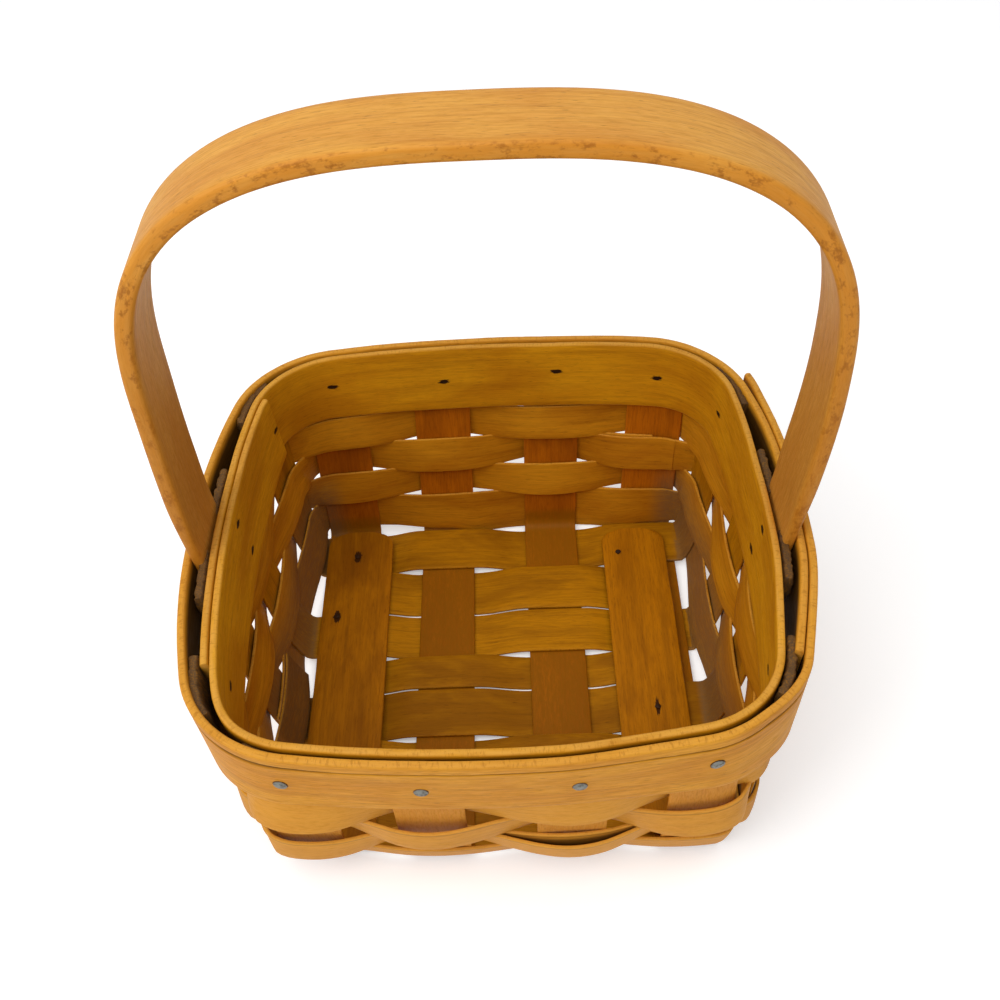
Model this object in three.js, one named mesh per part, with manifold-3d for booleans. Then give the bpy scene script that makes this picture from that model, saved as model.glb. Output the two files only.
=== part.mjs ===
// Small square basket woven from hardwood splints, with a fixed bent handle.
// Millimetres, +Z up. X runs between the two feet of the handle, Y from the front wall to the back wall.
// The origin is on the table, at the centre of the footprint.

import * as THREE from 'three';
import { mergeVertices } from 'three/addons/utils/BufferGeometryUtils.js';
import Module from 'manifold-3d';

// Driving dimensions of the basket body
const clearance = 0.3;
const rimHeight = 81.4;
const bandHeight = 25;
const rimHalf = 80.8;
const wallFlare = 11.4;
const rimStretchShare = 0.0105;
const rimShift = -0.45;
const footCurl = 2.2;
const footCurlHeight = 40;
const footShift = 3.05;
const footSqueezeShare = 0.0097;
const rimCornerRadius = 30;
const baseCornerRadius = 4.5;
const rimSideRadius = 337;
const baseSideRadius = 3000;

// Stakes: the strips that cross the base and turn up into the walls
const stakeThickness = 0.9;
const longStakeWidth = 19;
const outerStakeInset = 15.2;
const innerStakeShare = 0.3506;
const crossStripGap = 0.8;
const crossStripMargin = 3.8;
const crossStripShares = [0.1523, 0.1538, 0.1447, 0.108, 0.1451, 0.1409, 0.1552];
const stakeTopDrop = 2.6;
const bendRun = 2.2;
const bendRise = 3.6;
const weaveFlat = 1;
const weaveShares = [0.25, 0.5, 0.75];
const fillerOverlap = 3.8;

// Flat slats that lie on the base strips, set in from the outer long stakes and from the base's ends
const slatThickness = 1.5;
const leftSlatWidth = 23.8;
const leftSlatInset = 2.8;
const rightSlatWidth = 22.7;
const rightSlatInset = 5.2;
const slatFrontInset = 6.7;
const leftSlatBackInset = 1;
const rightSlatBackInset = 3.7;
const slatEndRounding = 6;

// Weavers: the strips that run round the walls, top row first. Their starts and ends are counted in uprights
const weaverThickness = 1.0;
const weaverFoot = 4.3;
const bottomWeaverExtra = 2.9;
const weaverGap = 0.4;
const weaverTopArch = 2.2;
const weaverBottomArches = [3.3, 4.2, 4, 2.2];
const weaverSwell = 0.4;
const weaverStartShares = [5, 2, 8.125, 12.75];
const weaverEndShares = [22, 19, 25.875, 29.5];

// Rim bands and handle
const innerBandThickness = 2.3;
const outerBandThickness = 2.3;
const bandEndSpring = 1.2;
const bandEndSpringLength = 30;
const leftBandSpread = 92;
const rightBandSpread = 75;
const handleRise = 126.6;
const handleLegRise = 53.6;
const handleFlare = 8.95;
const handleLean = 0.95;
const handleWidth = 23.2;
const handlePlace = -1;
const handleThickness = 4.6;
const handleFootThickness = 3.4;
const handleThinLength = 22;
const handlePlay = 0.5;
const handleFootLift = 0.5;
const handleCurveShare = 2.85;

// Ends of the bands and of the steps in their laps, set in from the rim's half width
const innerBandTailInset = 30.8;
const innerBandHeadInset = 23.8;
const outerBandTailInset = 23.3;
const outerBandHeadInset = 29.1;
const bandStepStartInset = 27.3;
const bandStepEndInset = 14.8;

// Rim nails, set down from the rim, and base brads, each beside a slat's middle over a strip of the base
const nailHeadRadius = 1.8;
const nailHeadThickness = 0.7;
const nailShankRadius = 0.6;
const nailPointLength = 1.2;
const nailDrop = 12.4;
const sideBackNailShare = -0.075;
const sideFrontNailShare = 0.44;
const bradHeadRadius = 1.0;
const bradHeadThickness = 0.4;
const bradShankRadius = 0.5;
const brads = {
  left_back: { sideways: -0.8, strip: 'back_outer', stripShare: -0.24 },
  left_middle: { sideways: -6.4, strip: 'back_inner', stripShare: 0.4 },
  right_back: { sideways: -5.9, strip: 'back_outer', stripShare: -0.34 },
  right_front: { sideways: 1.4, strip: 'front_inner', stripShare: -0.11 },
};
const handleNails = {
  left_upper: { widthShare: 0.268, drop: 5.4 },
  left_lower: { widthShare: 0.29, drop: 17.9 },
  right_upper: { widthShare: -0.156, drop: 5.4 },
  right_lower: { widthShare: -0.045, drop: 16.4 },
};

// Counts and angles
const uprightCount = 16;
const stepsPerUpright = 8;
const stripShareOnUpright = 0.25;
const roundSegments = 8;

// Sizes that follow from the ones above
const wallFootHalf = rimHalf - wallFlare;
const baseHalf = wallFootHalf - footCurl;
const baseReach = baseHalf - bendRun;
const bandBottom = rimHeight - bandHeight;
const stakeTop = rimHeight - stakeTopDrop;
const outerLongStakePlace = wallFootHalf - outerStakeInset;
const innerLongStakePlace = outerLongStakePlace * innerStakeShare;
const fillerReach = outerLongStakePlace + fillerOverlap;
const lowerLevel = stakeThickness / 2;
const longLevel = lowerLevel + stakeThickness + clearance;
const upperLevel = longLevel + stakeThickness + clearance;
const slatBottom = upperLevel + stakeThickness / 2 + clearance;
const slatTop = slatBottom + slatThickness;
const bandSeat = stakeThickness / 2 + clearance;
const bandStepStart = rimHalf - bandStepStartInset;
const bandStepEnd = rimHalf - bandStepEndInset;
const handleRoom = handleFootThickness + handlePlay;
const handleShoulder = rimHeight + handleLegRise;
const weaverLayer = weaverThickness + clearance;

const sides = ['back', 'right', 'front', 'left'];
const longStakes = {
  left_outer: -outerLongStakePlace,
  left_inner: -innerLongStakePlace,
  right_inner: innerLongStakePlace,
  right_outer: outerLongStakePlace,
};
const crossStrips = ['back_outer', 'back', 'back_inner', 'middle', 'front_inner', 'front', 'front_outer'];
const crossRoom = 2 * (wallFootHalf - crossStripMargin);
const crossWidth = (index) => crossRoom * crossStripShares[index] - crossStripGap;
const crossPlace = (index) => {
  const before = crossStripShares.slice(0, index).reduce((sum, share) => sum + share, 0);
  return crossRoom / 2 - crossRoom * (before + crossStripShares[index] / 2);
};

// The base is a little shorter from front to back than from side to side, and lies a little to the back
const basePlace = (y) => y * (1 - footSqueezeShare) + footShift;

const lerp = (a, b, t) => a + (b - a) * t;
const clampShare = (t) => Math.min(1, Math.max(0, t));
const ease = (t) => clampShare(t) ** 2 * (3 - 2 * clampShare(t));

// How far the wall curls in towards its foot: all of it at the table, none from the curl's height up
const footShare = (z) => clampShare(1 - z / footCurlHeight) ** 2;

// The rim is a little wider from side to side than from front to back, and lies a little to the left
const sideShift = (z) => (rimShift * z) / rimHeight;
const sideStretch = (z) => 1 + (rimStretchShare * z) / rimHeight;

// The wall's plan at a height: four side arcs that bow out a little, joined by four corner arcs
function planAt(z) {
  const t = z / rimHeight;
  const half = lerp(wallFootHalf, rimHalf, t) - footCurl * footShare(z);
  const radius = lerp(baseCornerRadius, rimCornerRadius, t);
  const sideRadius = 1 / lerp(1 / baseSideRadius, 1 / rimSideRadius, t);
  const sideCentre = half - sideRadius;
  const reach = sideRadius - radius;
  const corner = (sideCentre + Math.sqrt(2 * reach ** 2 - sideCentre ** 2)) / 2;
  const sideAngle = Math.atan2(corner, corner - sideCentre);
  const sideLength = sideRadius * sideAngle;
  const halfLength = sideLength + radius * (Math.PI / 4 - sideAngle);
  return { radius, sideRadius, sideCentre, corner, sideAngle, sideLength, halfLength };
}

// A point on the wall's middle surface, along a side from its middle, moved outwards by an offset
function wallFrame(side, along, z) {
  const plan = planAt(z);
  const distance = Math.abs(along);
  const onSide = distance <= plan.sideLength;
  const pastSide = (distance - plan.sideLength) / plan.radius;
  const turn = onSide ? distance / plan.sideRadius : plan.sideAngle + pastSide;
  const angle = Math.sign(along) * turn;
  const x = onSide
    ? plan.sideRadius * Math.sin(angle)
    : Math.sign(along) * plan.corner + plan.radius * Math.sin(angle);
  const y = onSide
    ? plan.sideCentre + plan.sideRadius * Math.cos(angle)
    : plan.corner + plan.radius * Math.cos(angle);
  const point = new THREE.Vector3(x, y, z);
  const outward = new THREE.Vector3(Math.sin(angle), Math.cos(angle), 0);
  const axis = new THREE.Vector3(0, 0, 1);
  const quarterTurns = -sides.indexOf(side) * (Math.PI / 2);
  point.applyAxisAngle(axis, quarterTurns);
  point.x = point.x * sideStretch(z) + sideShift(z);
  point.y = lerp(point.y, basePlace(point.y), footShare(z));
  return { point, outward: outward.applyAxisAngle(axis, quarterTurns) };
}

function wallPoint(side, along, z, offset) {
  const frame = wallFrame(side, along, z);
  return frame.point.addScaledVector(frame.outward, offset);
}

// A closed solid of even thickness on a grid of middle-surface points, grid[i][j], i along and j across
function sheet(grid, thicknessAt) {
  const rows = grid.length;
  const columns = grid[0].length;
  const positions = [];
  for (const side of [1, -1]) {
    for (let i = 0; i < rows; i += 1) {
      const before = grid[Math.max(i - 1, 0)];
      const after = grid[Math.min(i + 1, rows - 1)];
      for (let j = 0; j < columns; j += 1) {
        const along = after[j].clone().sub(before[j]);
        const across = grid[i][Math.min(j + 1, columns - 1)].clone().sub(grid[i][Math.max(j - 1, 0)]);
        const normal = along.cross(across).normalize();
        const point = grid[i][j].clone().addScaledVector(normal, (side * thicknessAt(i)) / 2);
        positions.push(point.x, point.y, point.z);
      }
    }
  }
  const at = (layer, i, j) => layer * rows * columns + i * columns + j;
  const indices = [];
  const quad = (a, b, c, d) => indices.push(a, b, c, a, c, d);
  for (let i = 0; i + 1 < rows; i += 1) {
    for (let j = 0; j + 1 < columns; j += 1) {
      quad(at(0, i, j), at(0, i + 1, j), at(0, i + 1, j + 1), at(0, i, j + 1));
      quad(at(1, i, j), at(1, i, j + 1), at(1, i + 1, j + 1), at(1, i + 1, j));
    }
    quad(at(1, i, 0), at(1, i + 1, 0), at(0, i + 1, 0), at(0, i, 0));
    const edge = columns - 1;
    quad(at(0, i, edge), at(0, i + 1, edge), at(1, i + 1, edge), at(1, i, edge));
  }
  for (let j = 0; j + 1 < columns; j += 1) {
    quad(at(0, 0, j), at(0, 0, j + 1), at(1, 0, j + 1), at(1, 0, j));
    const last = rows - 1;
    quad(at(1, last, j), at(1, last, j + 1), at(0, last, j + 1), at(0, last, j));
  }
  const geometry = new THREE.BufferGeometry();
  geometry.setAttribute('position', new THREE.Float32BufferAttribute(positions, 3));
  geometry.setIndex(indices);
  return geometry;
}

const even = (thickness) => () => thickness;

// Evenly spaced values from first to last
function spaced(first, last, steps) {
  return Array.from({ length: steps + 1 }, (_, i) => lerp(first, last, i / steps));
}

// One end of a stake, from its top edge down the wall and round the bend to where the base starts.
// The wall is followed down to a little above the strip's level in the base.
function stakeEnd(side, along, level, baseStart) {
  const wallStops = spaced(stakeTop, level + bendRise, 7);
  const wallLine = wallStops.map((z) => wallPoint(side, along, z, 0));
  const foot = wallPoint(side, along, level, 0);
  const start = wallLine[wallLine.length - 1];
  const bend = new THREE.QuadraticBezierCurve3(start, foot, baseStart);
  return [...wallLine.slice(0, -1), ...bend.getPoints(5).slice(0, -1)];
}

// A stake that runs from the front wall under the basket to the back wall
function longStakeGrid(place) {
  const across = spaced(-longStakeWidth / 2, longStakeWidth / 2, 4);
  const lines = across.map((v) => {
    const x = place + v;
    const base = [-baseReach, 0, baseReach].map((y) => new THREE.Vector3(x, basePlace(y), longLevel));
    const front = stakeEnd('front', -x, longLevel, base[0]);
    const back = stakeEnd('back', x, longLevel, base[2]).reverse();
    return [...front, ...base, ...back];
  });
  return lines[0].map((_, i) => lines.map((line) => line[i]));
}

// Whether a cross strip lies over a long stake: the first strip starts over, then the strips go in pairs
function liesOver(stripIndex, stakeIndex) {
  const pair = Math.floor((stripIndex + 1) / 2);
  return (pair + stakeIndex) % 2 === 1;
}

// The middle line of a cross strip in the base, over and under the four long stakes
function crossBaseLine(stripIndex, reach) {
  const places = Object.values(longStakes);
  const flat = longStakeWidth / 2 + weaveFlat;
  const level = (k) => (liesOver(stripIndex, k) ? upperLevel : lowerLevel);
  const line = [];
  places.forEach((place, k) => {
    line.push([Math.max(place - flat, -reach), level(k)], [Math.min(place + flat, reach), level(k)]);
    if (k + 1 < places.length) {
      for (const share of weaveShares) {
        const x = lerp(place + flat, places[k + 1] - flat, share);
        line.push([x, lerp(level(k), level(k + 1), ease(share))]);
      }
    }
  });
  return { line, startLevel: level(0), endLevel: level(places.length - 1) };
}

// A stake that runs from the left wall through the base to the right wall
function crossStakeGrid(stripIndex) {
  const { line, startLevel, endLevel } = crossBaseLine(stripIndex, baseReach);
  const halfWidth = crossWidth(stripIndex) / 2;
  const lines = spaced(-halfWidth, halfWidth, 4).map((v) => {
    const along = crossPlace(stripIndex) - v;
    const y = basePlace(along);
    const left = stakeEnd('left', along, startLevel, new THREE.Vector3(-baseReach, y, startLevel));
    const right = stakeEnd('right', -along, endLevel, new THREE.Vector3(baseReach, y, endLevel)).reverse();
    const base = line.map(([x, z]) => new THREE.Vector3(x, y, z));
    return [...left, ...base, ...right];
  });
  return lines[0].map((_, i) => lines.map((each) => each[i]));
}

// A short strip that fills the base between two cross stakes and ends under the slats
function fillerGrid(stripIndex) {
  const { line } = crossBaseLine(stripIndex, fillerReach);
  const halfWidth = crossWidth(stripIndex) / 2;
  const edges = [halfWidth, -halfWidth].map((v) => basePlace(crossPlace(stripIndex) + v));
  return line.map(([x, z]) => edges.map((edge) => new THREE.Vector3(x, edge, z)));
}

// A slat with rounded ends, flat on the base strips
const slats = {
  left: {
    place: leftSlatInset - outerLongStakePlace,
    width: leftSlatWidth,
    backReach: baseHalf - leftSlatBackInset,
  },
  right: {
    place: outerLongStakePlace - rightSlatInset,
    width: rightSlatWidth,
    backReach: baseHalf - rightSlatBackInset,
  },
};

function slatGeometry({ place, width, backReach }) {
  const half = width / 2;
  const frontReach = baseHalf - slatFrontInset;
  const shape = new THREE.Shape();
  shape.moveTo(place - half, -frontReach + slatEndRounding);
  shape.quadraticCurveTo(place - half, -frontReach, place, -frontReach);
  shape.quadraticCurveTo(place + half, -frontReach, place + half, -frontReach + slatEndRounding);
  shape.lineTo(place + half, backReach - slatEndRounding);
  shape.quadraticCurveTo(place + half, backReach, place, backReach);
  shape.quadraticCurveTo(place - half, backReach, place - half, backReach - slatEndRounding);
  shape.closePath();
  return new THREE.ExtrudeGeometry(shape, { depth: slatThickness, bevelEnabled: false, curveSegments: 8 })
    .translate(0, 0, slatBottom);
}

// The sixteen uprights in order round the basket, each with its side, place along it and half width
function uprightsInOrder() {
  const longPlaces = Object.values(longStakes);
  const crossStakes = [...crossStrips.keys()].filter((i) => i % 2 === 0);
  const back = longPlaces.map((x) => ({ side: 'back', along: x, half: longStakeWidth / 2 }));
  const right = crossStakes.map((i) => ({ side: 'right', along: -crossPlace(i), half: crossWidth(i) / 2 }));
  const front = longPlaces.map((x) => ({ side: 'front', along: -x, half: longStakeWidth / 2 })).reverse();
  const left = crossStakes.map((i) => ({ side: 'left', along: crossPlace(i), half: crossWidth(i) / 2 }));
  return [...back, ...right, ...front, ...left.reverse()];
}
const uprights = uprightsInOrder();
const uprightAt = (index) => uprights[((index % uprightCount) + uprightCount) % uprightCount];

// Where a weaver is after a number of uprights: whole numbers are upright middles
function weaverSpot(turns, z) {
  const index = Math.floor(turns + stripShareOnUpright);
  const fromMiddle = turns - index;
  const here = uprightAt(index);
  if (fromMiddle <= stripShareOnUpright) {
    return { side: here.side, along: here.along + (here.half * fromMiddle) / stripShareOnUpright };
  }
  const share = (fromMiddle - stripShareOnUpright) / (1 - 2 * stripShareOnUpright);
  const next = uprightAt(index + 1);
  const leaving = here.along + here.half;
  const arriving = next.along - next.half;
  if (here.side === next.side) {
    return { side: here.side, along: lerp(leaving, arriving, share) };
  }
  const corner = planAt(z).halfLength;
  const distance = share * (corner - leaving + corner + arriving);
  return distance < corner - leaving
    ? { side: here.side, along: leaving + distance }
    : { side: next.side, along: distance - corner + leaving - corner };
}

// The weavers' rows fill the wall from its foot to the bands, the bottom row a little wider than the others.
// Rows pass outside the odd or the even uprights in turn, and in the lap the start lies inside or outside.
const weaverNames = ['weaver_1_top', 'weaver_2', 'weaver_3', 'weaver_4_bottom'];
const rowCount = weaverNames.length;
const weaverWidth = (bandBottom - weaverFoot - rowCount * weaverGap - bottomWeaverExtra) / rowCount;
const weaverRows = weaverNames.map((name, index) => ({
  name,
  top: bandBottom - weaverGap - index * (weaverWidth + weaverGap),
  width: weaverWidth + (index === rowCount - 1 ? bottomWeaverExtra : 0),
  start: weaverStartShares[index],
  end: weaverEndShares[index],
  outsideFirst: (index + 1) % 2,
  startShift: index === rowCount - 1 ? 1 : -1,
}));

// How far the weaver's arch stands off the wall's middle surface at an upright, to its inner or outer side
function weaverStand(row, index, arch) {
  const sign = Math.abs(index % 2) === row.outsideFirst ? 1 : -1;
  const firstLapped = Math.ceil(row.start - stripShareOnUpright);
  const lastLapped = Math.floor(row.end - uprightCount + stripShareOnUpright);
  const shift = (row.startShift * weaverLayer) / 2;
  const lapped = (i) => i >= firstLapped && i <= lastLapped;
  if (lapped(index) || lapped(index - uprightCount)) {
    return sign * (arch + weaverLayer / 2) + (lapped(index) ? shift : -shift);
  }
  if (index < firstLapped) {
    return sign * arch + 2 * shift;
  }
  if (index > lastLapped + uprightCount) {
    return sign * arch - 2 * shift;
  }
  return sign * arch;
}

// A weaver runs in even waves. A straight strip has length to spare at the lower edge of a flaring wall,
// so that edge arches out more than the upper one
function weaverOffset(row, turns, arch) {
  const index = Math.floor(turns);
  const share = (1 - Math.cos(Math.PI * (turns - index))) / 2;
  return lerp(weaverStand(row, index, arch), weaverStand(row, index + 1, arch), share);
}

function weaverGrid(row, rowIndex) {
  const bottom = row.top - row.width;
  const steps = Math.round((row.end - row.start) * stepsPerUpright);
  return spaced(row.start, row.end, steps).map((turns) => {
    const swell = weaverSwell * Math.cos(Math.PI * turns) ** 2;
    const edges = [
      { z: bottom - (rowIndex < rowCount - 1 ? swell : 0), arch: weaverBottomArches[rowIndex] },
      { z: row.top + (rowIndex > 0 ? swell : 0), arch: weaverTopArch },
    ];
    return edges.map(({ z, arch }) => {
      const spot = weaverSpot(turns, z);
      return wallPoint(spot.side, spot.along, z, weaverOffset(row, turns, arch));
    });
  });
}

// A band's middle offset grows near the handle's feet, where the outer band clears them
const rimHalfLength = planAt(rimHeight).halfLength;
function handleRoomAt(side, along) {
  const onHandleSide = side === 'left' || side === 'right';
  const distance = onHandleSide ? Math.abs(along) : 2 * rimHalfLength - Math.abs(along);
  const nearRight = onHandleSide ? side === 'right' : (side === 'back') === (along > 0);
  const spread = nearRight ? rightBandSpread : leftBandSpread;
  const start = handleWidth / 2 - handlePlace;
  return handleRoom * (1 - ease((distance - start) / (spread - start)));
}

// Places round the rim: whole sides from a start place on one side, past every corner, to an end place
function rimRun(startSide, startPlace, turnsOfSides, endPlace) {
  const shares = [-1, -0.93, -0.86, -0.8, -0.74, -0.68, -0.62, -0.4, -0.2, 0];
  const allShares = [...shares, ...shares.slice(1, -1).reverse().map((share) => -share)];
  const run = [];
  for (let turn = 0; turn <= turnsOfSides; turn += 1) {
    const side = sides[(sides.indexOf(startSide) + turn) % sides.length];
    for (const share of allShares) {
      run.push({ side, turn, share });
    }
  }
  const first = startPlace / rimHalfLength;
  const last = endPlace / rimHalfLength;
  const margin = clearance / rimHalfLength;
  const kept = run.filter(({ turn, share }) => (turn > 0 || share > first + margin)
    && (turn < turnsOfSides || share < last - margin));
  const start = { side: startSide, turn: 0, share: first };
  return [start, ...kept, { side: startSide, turn: turnsOfSides, share: last }];
}

// The inner band: its tail end lies against the left uprights and its head end overlaps it inside
const innerBandShift = innerBandThickness + clearance;
function innerBandOffset(turn, along) {
  const stepStart = (2 * 3) * rimHalfLength + bandStepEnd;
  const stepEnd = (2 * 4) * rimHalfLength - bandStepStart;
  const step = ease((2 * turn * rimHalfLength + along - stepStart) / (stepEnd - stepStart));
  return -(bandSeat + innerBandThickness / 2) - innerBandShift * step;
}

// The outer band: its tail end overlaps its head end outside on the right, springing away a little
const outerBandTail = outerBandTailInset - rimHalf;
const outerBandShift = outerBandThickness + clearance;
function outerBandOffset(side, turn, along) {
  const position = 2 * turn * rimHalfLength + along;
  const stepEnd = 2 * rimHalfLength - bandStepEnd;
  const step = 1 - ease((position - bandStepStart) / (stepEnd - bandStepStart));
  const spring = bandEndSpring * (1 - clampShare((position - outerBandTail) / bandEndSpringLength)) ** 2;
  const seat = bandSeat + outerBandThickness / 2 + handleRoomAt(side, along);
  return seat + outerBandShift * step + spring;
}

function bandGrid(run, offsetAt) {
  return run.map(({ side, turn, share }) => [bandBottom, rimHeight].map((z) => {
    const along = share * planAt(z).halfLength;
    return wallPoint(side, along, z, offsetAt(side, turn, share * rimHalfLength));
  }));
}

// The handle's middle line in its own upright plane: feet along the wall, then flaring legs and a round top.
// The feet lie to the left with the rim, and above it the handle leans a little to the right
function handleLine() {
  const footOffset = bandSeat + handleFootThickness / 2;
  const footX = (z) => wallPoint('right', -handlePlace, z, footOffset).x - sideShift(z);
  const shift = (z) => (z < rimHeight
    ? sideShift(z)
    : lerp(rimShift, handleLean, ease((z - rimHeight) / handleLegRise)));
  const span = rimHalf + handleFlare - handleThickness / 2;
  const rise = handleRise - handleThickness / 2 - handleLegRise;
  const half = spaced(bandBottom + handleFootLift, rimHeight, 3).map((z) => [footX(z), z]);
  for (const z of spaced(rimHeight, handleShoulder, 6).slice(1, -1)) {
    const share = (handleShoulder - z) / (handleShoulder - rimHeight);
    half.push([span - (span - footX(rimHeight)) * share ** 2, z]);
  }
  const power = 2 / handleCurveShare;
  for (const angle of spaced(0, Math.PI / 2, 12).slice(0, -1)) {
    half.push([span * Math.cos(angle) ** power, handleShoulder + rise * Math.sin(angle) ** power]);
  }
  const top = [0, handleShoulder + rise];
  const arch = [...half, top, ...half.map(([x, z]) => [-x, z]).reverse()];
  return arch.map(([x, z]) => [x + shift(z), z]);
}

function handleGeometry() {
  const line = handleLine();
  const edges = [handlePlace - handleWidth / 2, handlePlace + handleWidth / 2];
  const grid = line.map(([x, z]) => edges.map((y) => new THREE.Vector3(x, y, z)));
  const thicknessAt = (i) => lerp(
    handleFootThickness,
    handleThickness,
    ease((line[i][1] - rimHeight) / handleThinLength),
  );
  return sheet(grid, thicknessAt);
}

// The rim nails: the side and place of each, with the bands' turns that give its outer and inner layers
function rimNails() {
  const nails = [];
  const z = rimHeight - nailDrop;
  for (const [name, x] of Object.entries(longStakes)) {
    nails.push({ name: `rim_nail_front_${name}`, side: 'front', along: -x, z });
    nails.push({ name: `rim_nail_back_${name}`, side: 'back', along: x, z });
  }
  const last = crossStrips.length - 1;
  const backPlace = crossPlace(0) + sideBackNailShare * crossWidth(0);
  const frontPlace = crossPlace(last) + sideFrontNailShare * crossWidth(last);
  for (const side of ['left', 'right']) {
    const sign = side === 'left' ? 1 : -1;
    nails.push({ name: `rim_nail_${side}_back`, side, along: sign * backPlace, z });
    nails.push({ name: `rim_nail_${side}_front`, side, along: sign * frontPlace, z });
  }
  for (const [name, { widthShare, drop }] of Object.entries(handleNails)) {
    const side = name.startsWith('left') ? 'left' : 'right';
    const y = handlePlace + widthShare * handleWidth;
    nails.push({ name: `handle_nail_${name}`, side, along: side === 'left' ? y : -y, z: rimHeight - drop });
  }
  return nails;
}

// A nail's outermost and innermost faces to pass, measured along the wall's normal
function nailSpan({ side, along, z }) {
  const rimAlong = (along / planAt(z).halfLength) * rimHalfLength;
  const outerTurn = side === 'right' ? 0 : 2;
  const innerTurn = side === 'left' ? 4 : 2;
  return {
    outside: outerBandOffset(side, outerTurn, rimAlong) + outerBandThickness / 2 + clearance,
    inside: innerBandOffset(innerTurn, rimAlong) - innerBandThickness / 2,
  };
}

// The direction square to the leaning wall, pointing out
function wallNormal(side, along, z) {
  const { outward } = wallFrame(side, along, z);
  const lean = wallFlare / rimHeight;
  return new THREE.Vector3(outward.x, outward.y, -lean).normalize();
}

// A pin turned about its axis, from its point at the bottom to the top of its head
function pinGeometry(shankRadius, headRadius, headThickness, shankLength, pointLength) {
  const profile = [
    new THREE.Vector2(0, -shankLength),
    new THREE.Vector2(shankRadius, -shankLength + pointLength),
    new THREE.Vector2(shankRadius, 0),
    new THREE.Vector2(headRadius, 0),
    new THREE.Vector2(headRadius, headThickness / 2),
    new THREE.Vector2(0, headThickness),
  ];
  return new THREE.LatheGeometry(profile, roundSegments);
}

const wasm = await Module();
wasm.setup();

// A three.js geometry as a solid that can be cut
function asSolid(geometry) {
  const plain = geometry.clone();
  plain.deleteAttribute('normal');
  plain.deleteAttribute('uv');
  const merged = mergeVertices(plain);
  return new wasm.Manifold(new wasm.Mesh({
    numProp: 3,
    vertProperties: new Float32Array(merged.attributes.position.array),
    triVerts: new Uint32Array(merged.index.array),
  }));
}

function asGeometry(solid) {
  const { vertProperties, triVerts } = solid.getMesh();
  const geometry = new THREE.BufferGeometry();
  geometry.setAttribute('position', new THREE.BufferAttribute(vertProperties, 3));
  geometry.setIndex(new THREE.BufferAttribute(triVerts, 1));
  return geometry;
}

// A round hole along a pin: its middle, direction and length
function holeSolid(middle, direction, radius, length) {
  const turn = new THREE.Quaternion().setFromUnitVectors(new THREE.Vector3(0, 1, 0), direction);
  const drill = new THREE.CylinderGeometry(radius, radius, length, roundSegments);
  return asSolid(drill.applyQuaternion(turn).translate(middle.x, middle.y, middle.z));
}

const basket = new THREE.Group();
const woodColours = { stake: 0x9a5f2b, weaver: 0xa9742f, band: 0xcd9350, handle: 0xd2944a, slat: 0x96611f };
const steelColour = 0x8f959c;
const woods = {};
for (const [name, color] of Object.entries(woodColours)) {
  woods[name] = new THREE.MeshStandardMaterial({ color, roughness: 0.6, metalness: 0 });
}
const steel = new THREE.MeshStandardMaterial({ color: steelColour, roughness: 0.4, metalness: 0.9 });

function addPiece(name, geometry, material) {
  const mesh = new THREE.Mesh(geometry, material.clone());
  mesh.name = name;
  basket.add(mesh);
  return mesh;
}

// Pins first, because each gives the hole that the strips under it need
const holes = [];
for (const nail of rimNails()) {
  const { outside, inside } = nailSpan(nail);
  const normal = wallNormal(nail.side, nail.along, nail.z);
  const centre = wallPoint(nail.side, nail.along, nail.z, 0);
  const length = outside - inside;
  const mesh = addPiece(
    nail.name,
    pinGeometry(nailShankRadius, nailHeadRadius, nailHeadThickness, length, nailPointLength),
    steel,
  );
  mesh.quaternion.setFromUnitVectors(new THREE.Vector3(0, 1, 0), normal);
  mesh.position.copy(centre).addScaledVector(normal, outside);
  const middle = centre.clone().addScaledVector(normal, (outside + inside) / 2);
  holes.push(holeSolid(middle, normal, nailShankRadius + clearance, 2 * length));
}
for (const [name, { sideways, strip, stripShare }] of Object.entries(brads)) {
  const slat = name.startsWith('left') ? slats.left : slats.right;
  const x = slat.place + sideways;
  const stripIndex = crossStrips.indexOf(strip);
  const y = basePlace(crossPlace(stripIndex) + stripShare * crossWidth(stripIndex));
  const top = slatTop + clearance;
  const length = top - clearance;
  const mesh = addPiece(
    `base_brad_${name}`,
    pinGeometry(bradShankRadius, bradHeadRadius, bradHeadThickness, length, nailPointLength),
    steel,
  );
  mesh.rotation.x = Math.PI / 2;
  mesh.position.set(x, y, top);
  const up = new THREE.Vector3(0, 0, 1);
  holes.push(holeSolid(new THREE.Vector3(x, y, 0), up, bradShankRadius + clearance, 4 * top));
}

// A piece with every hole that meets it
function drilled(geometry) {
  geometry.computeBoundingBox();
  let solid = asSolid(geometry);
  for (const hole of holes) {
    const { min, max } = hole.boundingBox();
    const reach = new THREE.Box3(new THREE.Vector3(...min), new THREE.Vector3(...max));
    if (reach.intersectsBox(geometry.boundingBox)) {
      solid = solid.subtract(hole);
    }
  }
  return asGeometry(solid);
}

for (const [name, place] of Object.entries(longStakes)) {
  addPiece(`long_stake_${name}`, drilled(sheet(longStakeGrid(place), even(stakeThickness))), woods.stake);
}
crossStrips.forEach((name, index) => {
  const isStake = index % 2 === 0;
  const grid = isStake ? crossStakeGrid(index) : fillerGrid(index);
  const label = isStake ? 'cross_stake' : 'base_filler';
  addPiece(`${label}_${name}`, drilled(sheet(grid, even(stakeThickness))), woods.stake);
});
for (const [name, slat] of Object.entries(slats)) {
  addPiece(`base_slat_${name}`, drilled(slatGeometry(slat)), woods.slat);
}
weaverRows.forEach((row, index) => {
  addPiece(row.name, sheet(weaverGrid(row, index), even(weaverThickness)), woods.weaver);
});

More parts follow.
